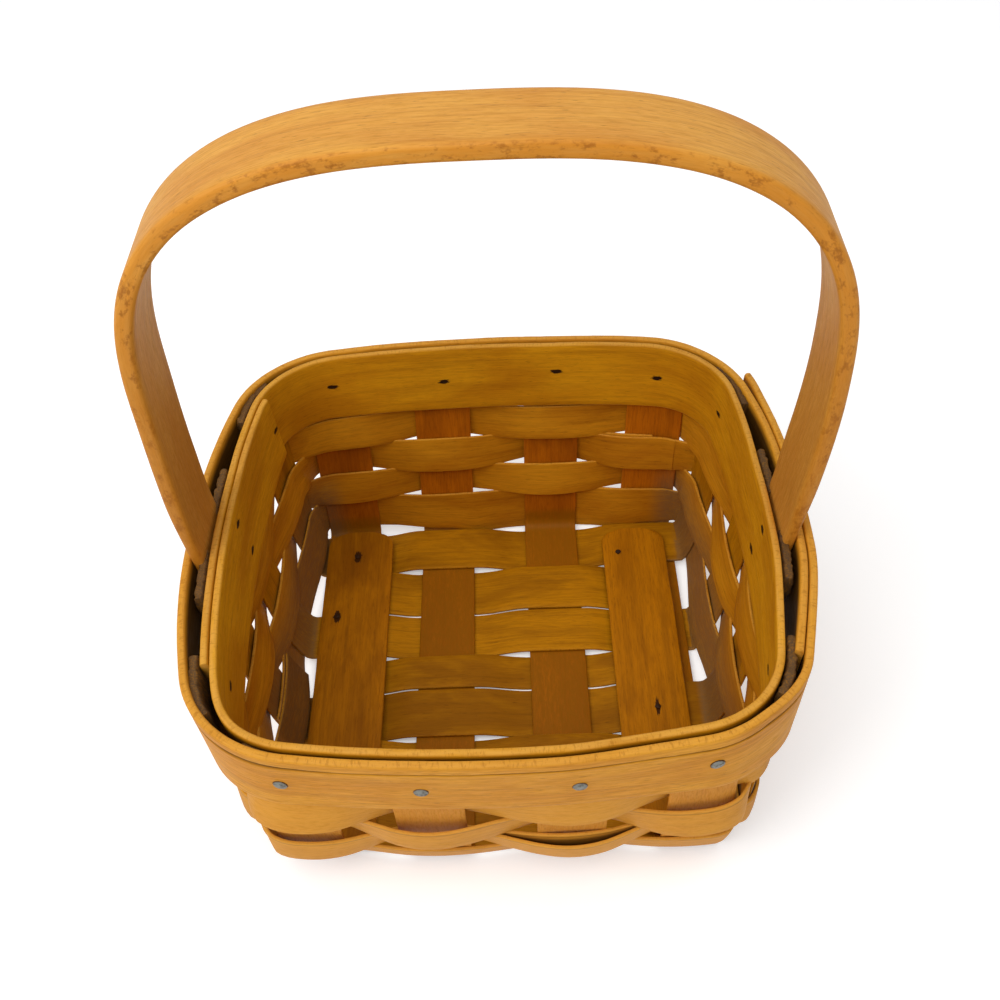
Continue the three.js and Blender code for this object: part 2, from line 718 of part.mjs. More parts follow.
const innerRun = rimRun('left', innerBandTailInset - rimHalf, sides.length, rimHalf - innerBandHeadInset);
const innerGrid = bandGrid(innerRun, (side, turn, along) => innerBandOffset(turn, along));
addPiece('rim_band_inner', drilled(sheet(innerGrid, even(innerBandThickness))), woods.band);
const outerRun = rimRun('right', outerBandTail, sides.length, rimHalf - outerBandHeadInset);
const outerGrid = bandGrid(outerRun, outerBandOffset);
addPiece('rim_band_outer', drilled(sheet(outerGrid, even(outerBandThickness))), woods.band);
addPiece('handle', drilled(handleGeometry()), woods.handle);

export default basket;
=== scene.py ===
from math import atan2, ceil, cos, floor, pi, radians, sin, sqrt

import bpy
import numpy as np
from mathutils import Matrix, Vector


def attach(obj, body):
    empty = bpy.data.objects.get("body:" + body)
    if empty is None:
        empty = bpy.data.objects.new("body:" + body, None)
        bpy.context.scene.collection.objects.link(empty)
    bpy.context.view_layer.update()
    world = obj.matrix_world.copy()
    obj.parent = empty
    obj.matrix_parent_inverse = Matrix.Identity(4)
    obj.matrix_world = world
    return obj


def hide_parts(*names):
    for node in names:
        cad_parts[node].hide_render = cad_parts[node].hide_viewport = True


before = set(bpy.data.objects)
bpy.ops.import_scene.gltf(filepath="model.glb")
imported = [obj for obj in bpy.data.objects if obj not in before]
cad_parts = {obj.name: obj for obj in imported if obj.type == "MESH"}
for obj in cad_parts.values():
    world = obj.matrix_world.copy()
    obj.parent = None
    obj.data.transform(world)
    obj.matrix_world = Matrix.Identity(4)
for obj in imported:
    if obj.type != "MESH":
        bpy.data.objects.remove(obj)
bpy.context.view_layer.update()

# Lengths are in millimetres, as in the CAD source, and become metres when a mesh is made
MM = 0.001

# Basket body
RIM_HEIGHT = 81.4
INNER_BAND_BOTTOM = 57.2
OUTER_BAND_BOTTOM = 55.8
RIM_HALF = 80.8
RIM_STRETCH = 0.0105
RIM_SHIFT = -0.45
WALL_FOOT_HALF = 69.4
FOOT_CURL = 2.2
FOOT_CURL_HEIGHT = 40
FOOT_SHIFT = 3.05
FOOT_SQUEEZE = 0.0097
FOOT_TUCKS = {"front": 2.2, "left": 2.0, "right": 1.4}
FOOT_TUCK_HEIGHT = 24
RIM_CORNER_RADIUS = 30
BASE_CORNER_RADIUS = 4.5
RIM_SIDE_RADIUS = 337
BASE_SIDE_RADIUS = 3000
CLEARANCE = 0.3

# Stakes, fillers and slats
STAKE_THICKNESS = 0.9
LONG_STAKE_WIDTH = 19
LONG_STAKES = {"left_outer": -54.2, "left_inner": -19, "right_inner": 19, "right_outer": 54.2}
CROSS_ROOM = 2 * (WALL_FOOT_HALF - 3.8)
CROSS_STRIP_GAP = 0.8
CROSS_STRIP_SHARES = (0.1523, 0.1538, 0.1447, 0.108, 0.1451, 0.1409, 0.1552)
CROSS_STRIPS = ("back_outer", "back", "back_inner", "middle", "front_inner", "front", "front_outer")
STAKE_TOP = RIM_HEIGHT - 2.6
SIDE_STAKE_TOP = RIM_HEIGHT - 1.3
BEND_RUN = 2.2
BEND_RISE = 3.6
FILLER_REACH = 58
SLAT_THICKNESS = 1.5

# Weavers, top row first
WEAVER_THICKNESS = 1.0
WEAVER_WIDTHS = (11.9, 11.9, 11.9, 14.8)
WEAVER_GAP = 0.4
WEAVER_SWELL = 0.5
WEAVER_TOP_ARCH = 1.5
WEAVER_BOTTOM_ARCHES = {
    "front": (3.5, 4.5, 4.2, 1.5),
    "back": (2.6, 3.2, 3.0, 1.5),
    "left": (2.4, 3.0, 2.8, 1.5),
    "right": (2.4, 3.0, 2.8, 1.5),
}
WEAVER_SLACK = 0.1
# How far the lower edges of the first three rows hang between the uprights
WEAVER_FILLS = {
    "front": (0, 0, 0),
    "back": (1.3, 1.3, 0.6),
    "left": (2.0, 2.0, 1.8),
    "right": (1.8, 1.8, 1.6),
}
# Where a front arch differs from its row, at (row, upright): further out below and above, top edge lower
ARCH_CHANGES = {(0, 11): (2.2, 0, 0), (2, 11): (0, 1.4, 1.8), (1, 10): (0, 2.4, 3.0), (1, 8): (0.4, 1.2, 1.0)}
# The back uprights lean to the right: by this much at this height, from the left one to the right one
BACK_LEANS = (0.0, 1.5, 0.85, 1.9)
BACK_LEAN_HEIGHT = 55
UPRIGHT_COUNT = 16

# Bands
INNER_BAND_THICKNESS = 2.2
OUTER_BAND_THICKNESS = 2.3
LEFT_BAND_SPREAD = 92
RIGHT_BAND_SPREAD = 75
GROOVE_DEPTH = 0.55
GROOVE_PLACES = (4.6, 4.1, 4.4)
GROOVE_HALF_WIDTH = 0.5

# Handle
HANDLE_TOP = 208
HANDLE_HALF_SPAN = 89.75
HANDLE_SHOULDER = 135
HANDLE_WIDTH = 24.3
HANDLE_PLACE = -1.4
HANDLE_THICKNESS = 4.6
HANDLE_FOOT_THICKNESS = 3.4
HANDLE_CURVE = 2.79
HANDLE_LEAN = 0.95

# Levels that follow
BAND_BOTTOM = RIM_HEIGHT - 25
BASE_REACH = WALL_FOOT_HALF - FOOT_CURL - BEND_RUN
LOWER_LEVEL = STAKE_THICKNESS / 2
LONG_LEVEL = LOWER_LEVEL + STAKE_THICKNESS + CLEARANCE
UPPER_LEVEL = LONG_LEVEL + STAKE_THICKNESS + CLEARANCE
SLAT_BOTTOM = UPPER_LEVEL + STAKE_THICKNESS / 2 + CLEARANCE
BAND_SEAT = STAKE_THICKNESS / 2 + CLEARANCE / 2
HANDLE_ROOM = HANDLE_FOOT_THICKNESS + 0.5
WEAVER_LAYER = WEAVER_THICKNESS + WEAVER_SLACK

SIDES = ("back", "right", "front", "left")


def mix(a, b, t):
    return a + (b - a) * t


def clamp(t):
    return min(1.0, max(0.0, t))


def ease(t):
    t = clamp(t)
    return t * t * (3 - 2 * t)


def wobble(s, seed, length):
    """A smooth wave with no plain period, between about -1 and 1."""
    a = sin(2 * pi * s / length + 1.7 * seed)
    b = sin(2 * pi * s / (0.43 * length) + 4.1 * seed)
    c = sin(2 * pi * s / (0.71 * length) + 2.9 * seed)
    return 0.45 * a + 0.25 * b + 0.3 * c


def ramp(value, none, full):
    """Smoothly from 0 at one value to 1 at another."""
    return ease((value - none) / (full - none))


def wave(size, s, seed):
    """A wobble with a given height and length."""
    return size[0] * wobble(s, seed, size[1])


# The wall's plan

def foot_share(z):
    """How far the wall curls in towards its foot: 1 at the table, 0 from the curl's height up."""
    return clamp(1 - z / FOOT_CURL_HEIGHT) ** 2


def base_place(y):
    """The base is a little shorter from front to back than from side to side, and lies further back."""
    return y * (1 - FOOT_SQUEEZE) + FOOT_SHIFT


def plan_at(z):
    """The wall at a height: four side arcs that bow out, joined by corner arcs."""
    t = z / RIM_HEIGHT
    half = mix(WALL_FOOT_HALF, RIM_HALF, t) - FOOT_CURL * foot_share(z)
    radius = mix(BASE_CORNER_RADIUS, RIM_CORNER_RADIUS, t)
    side_radius = 1 / mix(1 / BASE_SIDE_RADIUS, 1 / RIM_SIDE_RADIUS, t)
    centre = half - side_radius
    reach = side_radius - radius
    corner = (centre + sqrt(2 * reach ** 2 - centre ** 2)) / 2
    angle = atan2(corner, corner - centre)
    side_length = side_radius * angle
    half_length = side_length + radius * (pi / 4 - angle)
    return radius, side_radius, centre, corner, angle, side_length, half_length


# How far each corner of the rim is pushed out past its plain arc
CORNER_PUSHES = {(1, 1): 1.3, (-1, 1): 0.5, (-1, -1): 0.3, (1, -1): -1.3}
# The push starts here, between 0 at the middle of a side and 1 at the middle of a corner
CORNER_PUSH_START = 0.35


def corner_push(x, y, z):
    """The real rim is bent by hand, so its four corners differ a little."""
    share = clamp(z / RIM_HEIGHT)
    diagonal = abs(2 * x * y) / (x * x + y * y)
    push = CORNER_PUSHES[(1 if x > 0 else -1, 1 if y > 0 else -1)]
    return push * share ** 2 * ease((diagonal - CORNER_PUSH_START) / (1 - CORNER_PUSH_START))


def side_shift(z):
    return RIM_SHIFT * z / RIM_HEIGHT


def foot_tuck(nx, ny, z):
    """Towards its foot the wall is tucked in a little further, by an amount of its own on each side."""
    share = clamp(1 - z / FOOT_TUCK_HEIGHT) ** 2
    sideways = FOOT_TUCKS["left" if nx < 0 else "right"] * nx ** 2
    return share * (sideways + (FOOT_TUCKS["front"] * ny ** 2 if ny < 0 else 0.0))


def back_lean(side, along, z):
    """How far along the back wall a place has moved with the leaning uprights."""
    if side != "back":
        return 0.0
    return float(np.interp(along, list(LONG_STAKES.values()), BACK_LEANS)) * z / BACK_LEAN_HEIGHT


def wall_frame(side, along, z):
    """A point on the wall's middle surface, and the direction out of the basket."""
    radius, side_radius, centre, corner, side_angle, side_length, _ = plan_at(z)
    distance = abs(along)
    sign = 1 if along >= 0 else -1
    if distance <= side_length:
        angle = sign * distance / side_radius
        x = side_radius * sin(angle)
        y = centre + side_radius * cos(angle)
    else:
        angle = sign * (side_angle + (distance - side_length) / radius)
        x = sign * corner + radius * sin(angle)
        y = corner + radius * cos(angle)
    nx, ny = sin(angle), cos(angle)
    for _ in range(SIDES.index(side)):
        x, y = y, -x
        nx, ny = ny, -nx
    push = corner_push(x, y, z) - foot_tuck(nx, ny, z)
    x += nx * push
    y += ny * push
    x = x * (1 + RIM_STRETCH * z / RIM_HEIGHT) + side_shift(z)
    return np.array((x, mix(y, base_place(y), foot_share(z)), z)), np.array((nx, ny, 0.0))


def wall_point(side, along, z, offset):
    point, outward = wall_frame(side, along, z)
    return point + outward * offset


RIM_HALF_LENGTH = plan_at(RIM_HEIGHT)[-1]


# Meshes of strips

# Where a strip's columns lie in its rounded edges, as shares of the edge's radius
EDGE_SHARES = (0.0, 0.12, 0.4)
# The first two stations after a strip's end
END_STATIONS = (0.12, 0.4)
END_THICKNESS = 0.75
# A strip's ragged edges have long waves, and short ones with this share and length
RAGGED_LENGTH = 47
RAGGED_SHORT = (0.4, 7.3)
# How far a seed moves a strip's grain: along it, across it and into it
GRAIN_STEPS = (900, 70, 9)


def add_object(name, data):
    obj = bpy.data.objects.new(name, data)
    bpy.context.scene.collection.objects.link(obj)
    return obj


def edge_columns(width, thickness, radius, spacing, extra=()):
    """Places across a strip with the half thickness at each, thinner where the edges are rounded."""
    half = width / 2
    count = max(2, round((width - 2 * radius) / spacing))
    inner = list(np.linspace(-half + radius, half - radius, count + 1))
    places = [-half + radius * share for share in EDGE_SHARES] + inner
    places += [half - radius * share for share in reversed(EDGE_SHARES)]
    places = sorted(places + list(extra))
    halves = []
    for place in places:
        left = min(half - abs(place), radius)
        halves.append(thickness / 2 - radius + sqrt(radius ** 2 - (radius - left) ** 2))
    return places, halves


def strip_object(name, length, step, across, surface, thickness, edge_radius=0.35, spacing=2.4, seed=0.0,
                 tone=0.0, relief=None, ragged=0.1, thickness_at=None, width_at=None, shade_at=None,
                 extra=()):
    """A closed strip. surface(s, v) is its middle surface at a length s and a place v from its middle line.
    relief(s, v, face) moves the inner (+1) or outer (-1) face by a small distance, shade_at darkens it."""
    stations = stations_for(length, step)
    places, halves = edge_columns(across, thickness, edge_radius, spacing, extra)
    rows, cols = len(stations), len(places)
    middle = np.zeros((rows, cols, 3))
    for i, s in enumerate(stations):
        for j, v in enumerate(places):
            side = 1 if v > 0 else -1
            near_edge = max(0.0, abs(v) / (across / 2) * 2 - 1)
            waves = wobble(s, seed + side, RAGGED_LENGTH) + wave(RAGGED_SHORT, s, seed + 3 * side)
            middle[i, j] = surface(s, v + side * (ragged * near_edge * waves))
    along = np.gradient(middle, axis=0)
    sideways = np.gradient(middle, axis=1)
    normal = np.cross(along, sideways)
    normal /= np.linalg.norm(normal, axis=2, keepdims=True)
    ends = np.ones(rows)
    ends[0] = ends[-1] = END_THICKNESS
    half = np.outer(ends, halves)
    if thickness_at:
        for i, s in enumerate(stations):
            half[i] *= thickness_at(s) / thickness
    faces = []
    lifts = {1: half.copy(), -1: half.copy()}
    if relief:
        for i, s in enumerate(stations):
            for j, v in enumerate(places):
                for face in (1, -1):
                    lifts[face][i, j] += relief(s, v, face)
    top = middle + normal * lifts[1][:, :, None]
    bottom = middle - normal * lifts[-1][:, :, None]
    points = np.concatenate((top.reshape(-1, 3), bottom.reshape(-1, 3)))

    def quad(*corners):
        faces.append(tuple((layer * rows + i) * cols + j for layer, i, j in corners))

    last, end = cols - 1, rows - 1
    for i in range(end):
        for j in range(last):
            quad((0, i, j), (0, i + 1, j), (0, i + 1, j + 1), (0, i, j + 1))
            quad((1, i, j), (1, i, j + 1), (1, i + 1, j + 1), (1, i + 1, j))
        quad((1, i, 0), (1, i + 1, 0), (0, i + 1, 0), (0, i, 0))
        quad((0, i, last), (0, i + 1, last), (1, i + 1, last), (1, i, last))
    for j in range(last):
        quad((0, 0, j), (0, 0, j + 1), (1, 0, j + 1), (1, 0, j))
        quad((1, end, j), (1, end, j + 1), (0, end, j + 1), (0, end, j))
    mesh = bpy.data.meshes.new(name)
    mesh.from_pydata((points * MM).tolist(), [], faces)
    shift = [step * seed for step in GRAIN_STEPS]
    grain = []
    edge = []
    shade = []
    for face in (1, -1):
        for i, s in enumerate(stations):
            for j, v in enumerate(places):
                wide = width_at(s) if width_at else 1.0
                grain.append((s + shift[0], v * wide + shift[1], face * lifts[face][i, j] + shift[2]))
                close = clamp(1 - (across / 2 - abs(v)) / edge_radius)
                edge.append(max(close, 1.0 if i in (0, rows - 1) else 0.0))
                shade.append(shade_at(s, v, face) if shade_at else 0.0)
    for key, values in (("grain", grain), ("edge", edge), ("shade", shade), ("tone", [tone] * len(edge))):
        add_attribute(mesh, key, values)
    mesh.shade_smooth()
    mesh.set_sharp_from_angle(angle=radians(50))
    return add_object(name, mesh)


def add_attribute(mesh, name, values):
    values = np.array(values, dtype=np.float32)
    kind, key = ("FLOAT_VECTOR", "vector") if values.ndim == 2 else ("FLOAT", "value")
    mesh.attributes.new(name, kind, "POINT").data.foreach_set(key, values.ravel())


def dress(obj, slot, material, *nodes):
    """Gives a piece its material and puts it in the place of CAD nodes."""
    obj.data.materials.append(material)
    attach(obj, "root")
    if nodes:
        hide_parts(*nodes)
    return obj


class Line:
    """A smooth line through points in 3-D, read by length."""

    def __init__(self, points):
        self.points = np.array(points)
        steps = np.linalg.norm(np.diff(self.points, axis=0), axis=1)
        self.lengths = np.concatenate(((0.0,), np.cumsum(steps)))
        self.length = self.lengths[-1]

    def at(self, s):
        return np.array([np.interp(s, self.lengths, self.points[:, k]) for k in range(3)])


def stations_for(length, step):
    first, second = END_STATIONS
    inner = np.linspace(second, length - second, max(2, round(length / step)))
    return [0.0, first] + list(inner) + [length - first, length]


def fitted_surface(line_for):
    """A strip's middle surface from the line at each place across it, and the length of its middle line."""
    lines = {}

    def line_at(v):
        key = round(v, 3)
        if key not in lines:
            lines[key] = line_for(v)
        return lines[key]

    length = line_at(0).length

    def surface(s, v):
        line = line_at(v)
        return line.at(s * line.length / length)

    return surface, length


# Materials

class Shader:
    """A small helper that adds nodes and joins them."""

    def __init__(self, name, **inputs):
        self.material = bpy.data.materials.new(name)
        self.material.use_nodes = True
        self.tree = self.material.node_tree
        self.tree.nodes.clear()
        self.output = self.node("OutputMaterial")
        self.surface = self.node("BsdfPrincipled", **inputs)
        self.join(self.surface.outputs[0], self.output.inputs["Surface"])

    def join(self, source, target):
        self.tree.links.new(source, target)

    def set(self, target, value):
        if hasattr(value, "is_output"):
            self.join(value, target)
        else:
            target.default_value = value

    def node(self, kind, **inputs):
        """A node with some inputs set or joined; an underscore in an input's name stands for a space."""
        node = self.tree.nodes.new("ShaderNode" + kind)
        for name, value in inputs.items():
            self.set(node.inputs[name.replace("_", " ")], value)
        return node

    def attribute(self, name, output):
        node = self.node("Attribute")
        node.attribute_name = name
        return node.outputs[output]

    def position(self):
        return self.node("TexCoord").outputs["Object"]

    def along_axis(self, vector, axis):
        """One coordinate of a place: x, y or z, ax for the distance from the middle along x, or out, which is
        below 0 on faces that look towards the middle."""
        if axis == "out":
            node = self.node("VectorMath")
            node.operation = "DOT_PRODUCT"
            self.join(self.node("TexCoord").outputs["Normal"], node.inputs[0])
            self.join(self.scaled(vector, (1, 1, 0)), node.inputs[1])
            return node.outputs["Value"]
        node = self.node("SeparateXYZ", Vector=vector)
        if axis == "ax":
            return self.math("ABSOLUTE", node.outputs[0])
        return node.outputs["xyz".index(axis)]

    def scaled(self, vector, scale):
        return self.node("Mapping", Vector=vector, Scale=scale).outputs[0]

    def noise(self, vector, scale=1.0, detail=3.0, roughness=0.5, distortion=0.0):
        node = self.node("TexNoise", Vector=vector, Scale=scale, Detail=detail, Roughness=roughness,
                         Distortion=distortion)
        return node.outputs["Fac"]

    def span(self, value, low, high, to_low=0.0, to_high=1.0):
        node = self.node("MapRange", Value=value, From_Min=low, From_Max=high, To_Min=to_low, To_Max=to_high)
        node.interpolation_type = "SMOOTHSTEP"
        return node.outputs["Result"]

    def math(self, operation, a, b=0.0):
        node = self.node("Math")
        node.operation = operation
        self.set(node.inputs[0], a)
        self.set(node.inputs[1], b)
        return node.outputs[0]

    def blend(self, share, a, b):
        node = self.node("Mix")
        node.data_type = "RGBA"
        self.set(node.inputs["Factor"], share)
        self.set(node.inputs["A"], a)
        self.set(node.inputs["B"], b)
        return node.outputs["Result"]

    def spot(self, vector, place, turn, size, soft):
        """1 at a place, falling to 0 at an oval's edge; place and size in the vector's own units."""
        node = self.node("Mapping", Vector=vector, Location=place, Rotation=turn, Scale=size)
        node.vector_type = "TEXTURE"
        length = self.node("VectorMath")
        length.operation = "LENGTH"
        self.join(node.outputs[0], length.inputs[0])
        return self.span(length.outputs["Value"], 1.0, 1.0 - soft)

    def bump(self, height, strength, distance):
        node = self.node("Bump", Strength=strength, Distance=distance, Height=height)
        self.join(node.outputs[0], self.surface.inputs["Normal"])


def rgb(red, green, blue):
    """A colour as it looks on a screen, 0 to 255, for a shader."""
    channels = []
    for value in (red, green, blue):
        share = value / 255
        channels.append(share / 12.92 if share <= 0.04045 else ((share + 0.055) / 1.055) ** 2.4)
    return (*channels, 1.0)


# The wood's noises: scales along, across and into the grain, then detail, roughness and distortion
WOOD_NOISES = {
    "mottle": ((0.022, 0.07, 0.06), 4, 0.6, 0.4),
    "streaks": ((0.013, 0.55, 0.4), 3, 0.55, 0.3),
    "threads": ((0.06, 1.1, 1.0), 3, 0.6),
    "fibres": ((0.2, 2.4, 2.2), 3, 0.7),
    "pores": ((0.3, 2.9, 2.6), 2, 0.5),
    "worn": ((0.09, 0.6, 0.6), 3),
    "rough": ((0.5, 2.2, 2.0), 3, 0.6),
}
# Dark lines along the grain: their noise, where it starts and is full, and their share of the strength
WOOD_LINES = (("streaks", 0.45, 0.75, 1.0), ("threads", 0.45, 0.7, 0.7), ("fibres", 0.42, 0.72, 1.0))
WOOD_ROUGHNESS = 0.55
PORE_COLOUR_SHARE = 0.35
WORN_EDGE_SHARE = 0.6
# The painted shade that the shade attribute blends in: its colour and full strength
SHADE_COLOUR = (0.006, 0.003, 0.001, 1.0)
SHADE_STRENGTH = 0.94


def wood(name, colour, darker, line, edge_colour, fibre=0.4, fleck=0.45, gloss=0.1, marks=(),
         mark_colour=(0.02, 0.007, 0.002, 1.0), regions=(), edge_marks=(1.5, 0.5)):
    """Stained splint wood: soft mottling, long streaks, short fibres and pores, and worn, sawn edges.
    Each region blends towards a colour where every (axis, none, full) span holds."""
    shader = Shader(name, Specular_IOR_Level=gloss)
    grain = shader.attribute("grain", "Vector")
    noises = {}
    for key, (scale, *settings) in WOOD_NOISES.items():
        noises[key] = shader.noise(shader.scaled(grain, scale), 1.0, *settings)
    mottle = shader.span(noises["mottle"], 0.32, 0.68)
    result = shader.blend(shader.math("SUBTRACT", mottle, shader.attribute("tone", "Fac")), colour, darker)
    for key, low, high, strength in WOOD_LINES:
        result = shader.blend(shader.span(noises[key], low, high, 0.0, fibre * strength), result, line)
    deep = tuple(channel * PORE_COLOUR_SHARE for channel in line[:3]) + (1.0,)
    result = shader.blend(shader.span(noises["pores"], 0.62, 0.74, 0.0, fleck), result, deep)
    edge = shader.attribute("edge", "Fac")
    worn = shader.span(noises["worn"], 0.3, 0.6, WORN_EDGE_SHARE * 0.5, WORN_EDGE_SHARE)
    result = shader.blend(shader.math("MULTIPLY", edge, worn), result, edge_colour)
    mark_scale, mark_strength = edge_marks
    sawn = shader.noise(shader.scaled(grain, (mark_scale, 0.3, 0.5)), detail=3, roughness=0.65)
    sawn = shader.span(sawn, 0.5, 0.68, 0.0, mark_strength)
    result = shader.blend(shader.math("MULTIPLY", edge, sawn), result, line)
    place = shader.position()
    rough = noises["rough"]
    for spans, tint, amount in regions:
        mask = shader.span(rough, 0.3, 0.6, amount * 0.6, amount)
        for axis, none, full in spans:
            mask = shader.math("MULTIPLY", mask, shader.span(shader.along_axis(place, axis), none, full))
        result = shader.blend(mask, result, tint)
    if marks:
        total = None
        for mark in marks:
            spot = shader.spot(place, *mark)
            total = spot if total is None else shader.math("MAXIMUM", total, spot)
        ragged = shader.span(shader.math("ADD", total, shader.math("MULTIPLY", rough, 1.6)), 1.05, 1.35)
        near = shader.span(total, 0.02, 0.2)
        result = shader.blend(shader.math("MULTIPLY", ragged, near), result, mark_colour)
    # Painted shade from the shade attribute
    shade = shader.math("MULTIPLY", shader.attribute("shade", "Fac"), SHADE_STRENGTH)
    shader.join(shader.blend(shade, result, SHADE_COLOUR), shader.surface.inputs["Base Color"])
    fibres = noises["fibres"]
    dull = shader.span(fibres, 0.3, 0.7, WOOD_ROUGHNESS - 0.07, WOOD_ROUGHNESS + 0.1)
    shader.join(dull, shader.surface.inputs["Roughness"])
    height = shader.math("SUBTRACT", fibres, shader.math("MULTIPLY", noises["pores"], 0.6))
    shader.bump(height, strength=0.35, distance=0.0001)
    return shader.material


def metal(name, colour, roughness):
    shader = Shader(name, Metallic=0.85)
    stain = shader.noise(shader.position(), scale=900, detail=4, roughness=0.6)
    tint = shader.blend(shader.span(stain, 0.45, 0.7, 0.0, 0.7), colour, rgb(74, 66, 58))
    shader.join(tint, shader.surface.inputs["Base Color"])
    shader.join(shader.span(stain, 0.3, 0.7, roughness, roughness + 0.25), shader.surface.inputs["Roughness"])
    return shader.material


# Stakes

SPLINT_STEP = 1.8
SPLINT_EDGE = 0.3
STAKE_WAVE = (0.12, 25)
# The cross strips lie flat over and under the long stakes, and this much further
FLAT_MARGIN = 1
# The frayed tops of the cross stakes are uneven and lean out. Their ends are thick and fuzzy
FRAY_UNEVEN = (0.4, 5)
FRAY_LEAN = 1.4
FRAY_LEAN_HEIGHTS = (62, 76)
FRAY_THICKNESS = 3.1
FRAY_SPAN = (18, 6)
FRAY_END_SHARE = 0.4
FRAY_END_RUN = 1.5
FUZZ = (0.35, 2.1)
FUZZ_SPAN = (12, 6)
# A slat's rounded ends: how long they are, how full their curve is, and how wide the very end is
SLAT_END_LENGTH = 6.5
SLAT_END_CURVE = 2.4
SLAT_END_SHARE = 0.06
SLAT_STEP = 1.2
SLAT_EDGE = 0.45
SLAT_WAVE = (0.12, 90)


def bend_points(start, foot, end, steps):
    points = []
    for k in range(steps + 1):
        t = k / steps
        points.append(start * (1 - t) ** 2 + foot * 2 * t * (1 - t) + end * t ** 2)
    return points


def stake_end(side, along, level, base_start, seed):
    """From a stake's top edge down the wall and round the bend to where the base starts. On the left and
    right the frayed tops lean out into the room between the bands."""
    at_side = side in ("left", "right")
    top = SIDE_STAKE_TOP + wave(FRAY_UNEVEN, along, seed) if at_side else STAKE_TOP
    wall = []
    for z in np.linspace(top, level + BEND_RISE, num=40):
        lean = FRAY_LEAN * ramp(z, *FRAY_LEAN_HEIGHTS) if at_side else 0.0
        wall.append(wall_point(side, along + back_lean(side, along, z), z, lean + wave(STAKE_WAVE, z, seed)))
    foot = wall_point(side, along, level, 0)
    return wall[:-1] + bend_points(wall[-1], foot, base_start, steps=8)[:-1]


def long_stake(name, place, seed, tone, material):
    def line_for(v):
        x = place + v
        front_end = FOOT_TUCKS["front"] - BASE_REACH
        stops = np.linspace(front_end, BASE_REACH, num=40)
        base = [np.array((x, base_place(y), LONG_LEVEL)) for y in stops]
        front = stake_end("front", -x, LONG_LEVEL, base[0], seed)
        back = stake_end("back", x, LONG_LEVEL, base[-1], seed + 1)[::-1]
        return Line(front + base + back)

    surface, length = fitted_surface(line_for)
    obj = strip_object(f"long_splint_{name}", length, SPLINT_STEP, LONG_STAKE_WIDTH, surface,
                       STAKE_THICKNESS, SPLINT_EDGE, seed=seed, tone=tone, ragged=0.0)
    return dress(obj, "stake", material, f"long_stake_{name}")


def lies_over(strip, stake):
    """Whether a cross strip lies over a long stake: the strips change in pairs."""
    return ((strip + 1) // 2 + stake) % 2 == 1


def base_level(strip, x):
    """The height of a cross strip's middle over a place in the base."""
    places = list(LONG_STAKES.values())
    flat = LONG_STAKE_WIDTH / 2 + FLAT_MARGIN
    levels = [UPPER_LEVEL if lies_over(strip, k) else LOWER_LEVEL for k in range(len(places))]
    if x <= places[0]:
        return levels[0]
    if x >= places[-1]:
        return levels[-1]
    k = next(k for k in range(len(places) - 1) if x <= places[k + 1])
    share = (x - places[k] - flat) / (places[k + 1] - places[k] - 2 * flat)
    return mix(levels[k], levels[k + 1], ease(share))


def strip_width(index):
    return CROSS_ROOM * CROSS_STRIP_SHARES[index] - CROSS_STRIP_GAP


def strip_place(index):
    return CROSS_ROOM * (0.5 - sum(CROSS_STRIP_SHARES[:index]) - CROSS_STRIP_SHARES[index] / 2)


def cross_stake(index, seed, tone, material):
    name = CROSS_STRIPS[index]

    def line_for(v):
        along = strip_place(index) - v
        stops = np.linspace(-BASE_REACH, BASE_REACH, num=90)
        base = [np.array((x, base_place(along), base_level(index, x))) for x in stops]
        left = stake_end("left", along, base[0][2], base[0], seed)
        right = stake_end("right", -along, base[-1][2], base[-1], seed + 1)[::-1]
        return Line(left + base + right)

    surface, length = fitted_surface(line_for)

    def thickness_at(s):
        """The fibres at the ends have spread, and fill the room between the bands."""
        from_end = min(s, length - s)
        spread = ramp(from_end, *FRAY_SPAN) * clamp(FRAY_END_SHARE + from_end / FRAY_END_RUN)
        return mix(STAKE_THICKNESS, FRAY_THICKNESS, spread)

    def fuzz(s, v, face):
        from_end = min(s, length - s)
        return wave(FUZZ, v + 3 * face, seed + s) * ramp(from_end, *FUZZ_SPAN)

    obj = strip_object(f"cross_splint_{name}", length, SPLINT_STEP, strip_width(index), surface,
                       STAKE_THICKNESS, SPLINT_EDGE, spacing=1.2, seed=seed, tone=tone, relief=fuzz,
                       ragged=0.0, thickness_at=thickness_at)
    return dress(obj, "stake", material, f"cross_stake_{name}")


def base_filler(index, seed, tone, material):
    name = CROSS_STRIPS[index]

    def surface(s, v):
        x = s - FILLER_REACH
        return np.array((x, base_place(strip_place(index) - v), base_level(index, x)))

    obj = strip_object(f"filler_splint_{name}", 2 * FILLER_REACH, SPLINT_STEP, strip_width(index), surface,
                       STAKE_THICKNESS, SPLINT_EDGE, seed=seed, tone=tone, ragged=0.12)
    return dress(obj, "stake", material, f"base_filler_{name}")


def base_slat(name, place, width, front, back, seed, tone, material):
    length = front + back
    level = SLAT_BOTTOM + SLAT_THICKNESS / 2

    def half_share(s):
        near = min(s, length - s)
        round_share = sqrt(clamp(1 - (1 - clamp(near / SLAT_END_LENGTH)) ** SLAT_END_CURVE))
        return round_share * (1 - SLAT_END_SHARE) + SLAT_END_SHARE

    def surface(s, v):
        x = place + v * half_share(s)
        return np.array((x, s - front, level + wave(SLAT_WAVE, s, seed)))

    obj = strip_object(f"slat_{name}", length, SLAT_STEP, width, surface, SLAT_THICKNESS, SLAT_EDGE,
                       seed=seed, tone=tone, width_at=half_share)
    return dress(obj, "slat", material, f"base_slat_{name}")


# Weavers

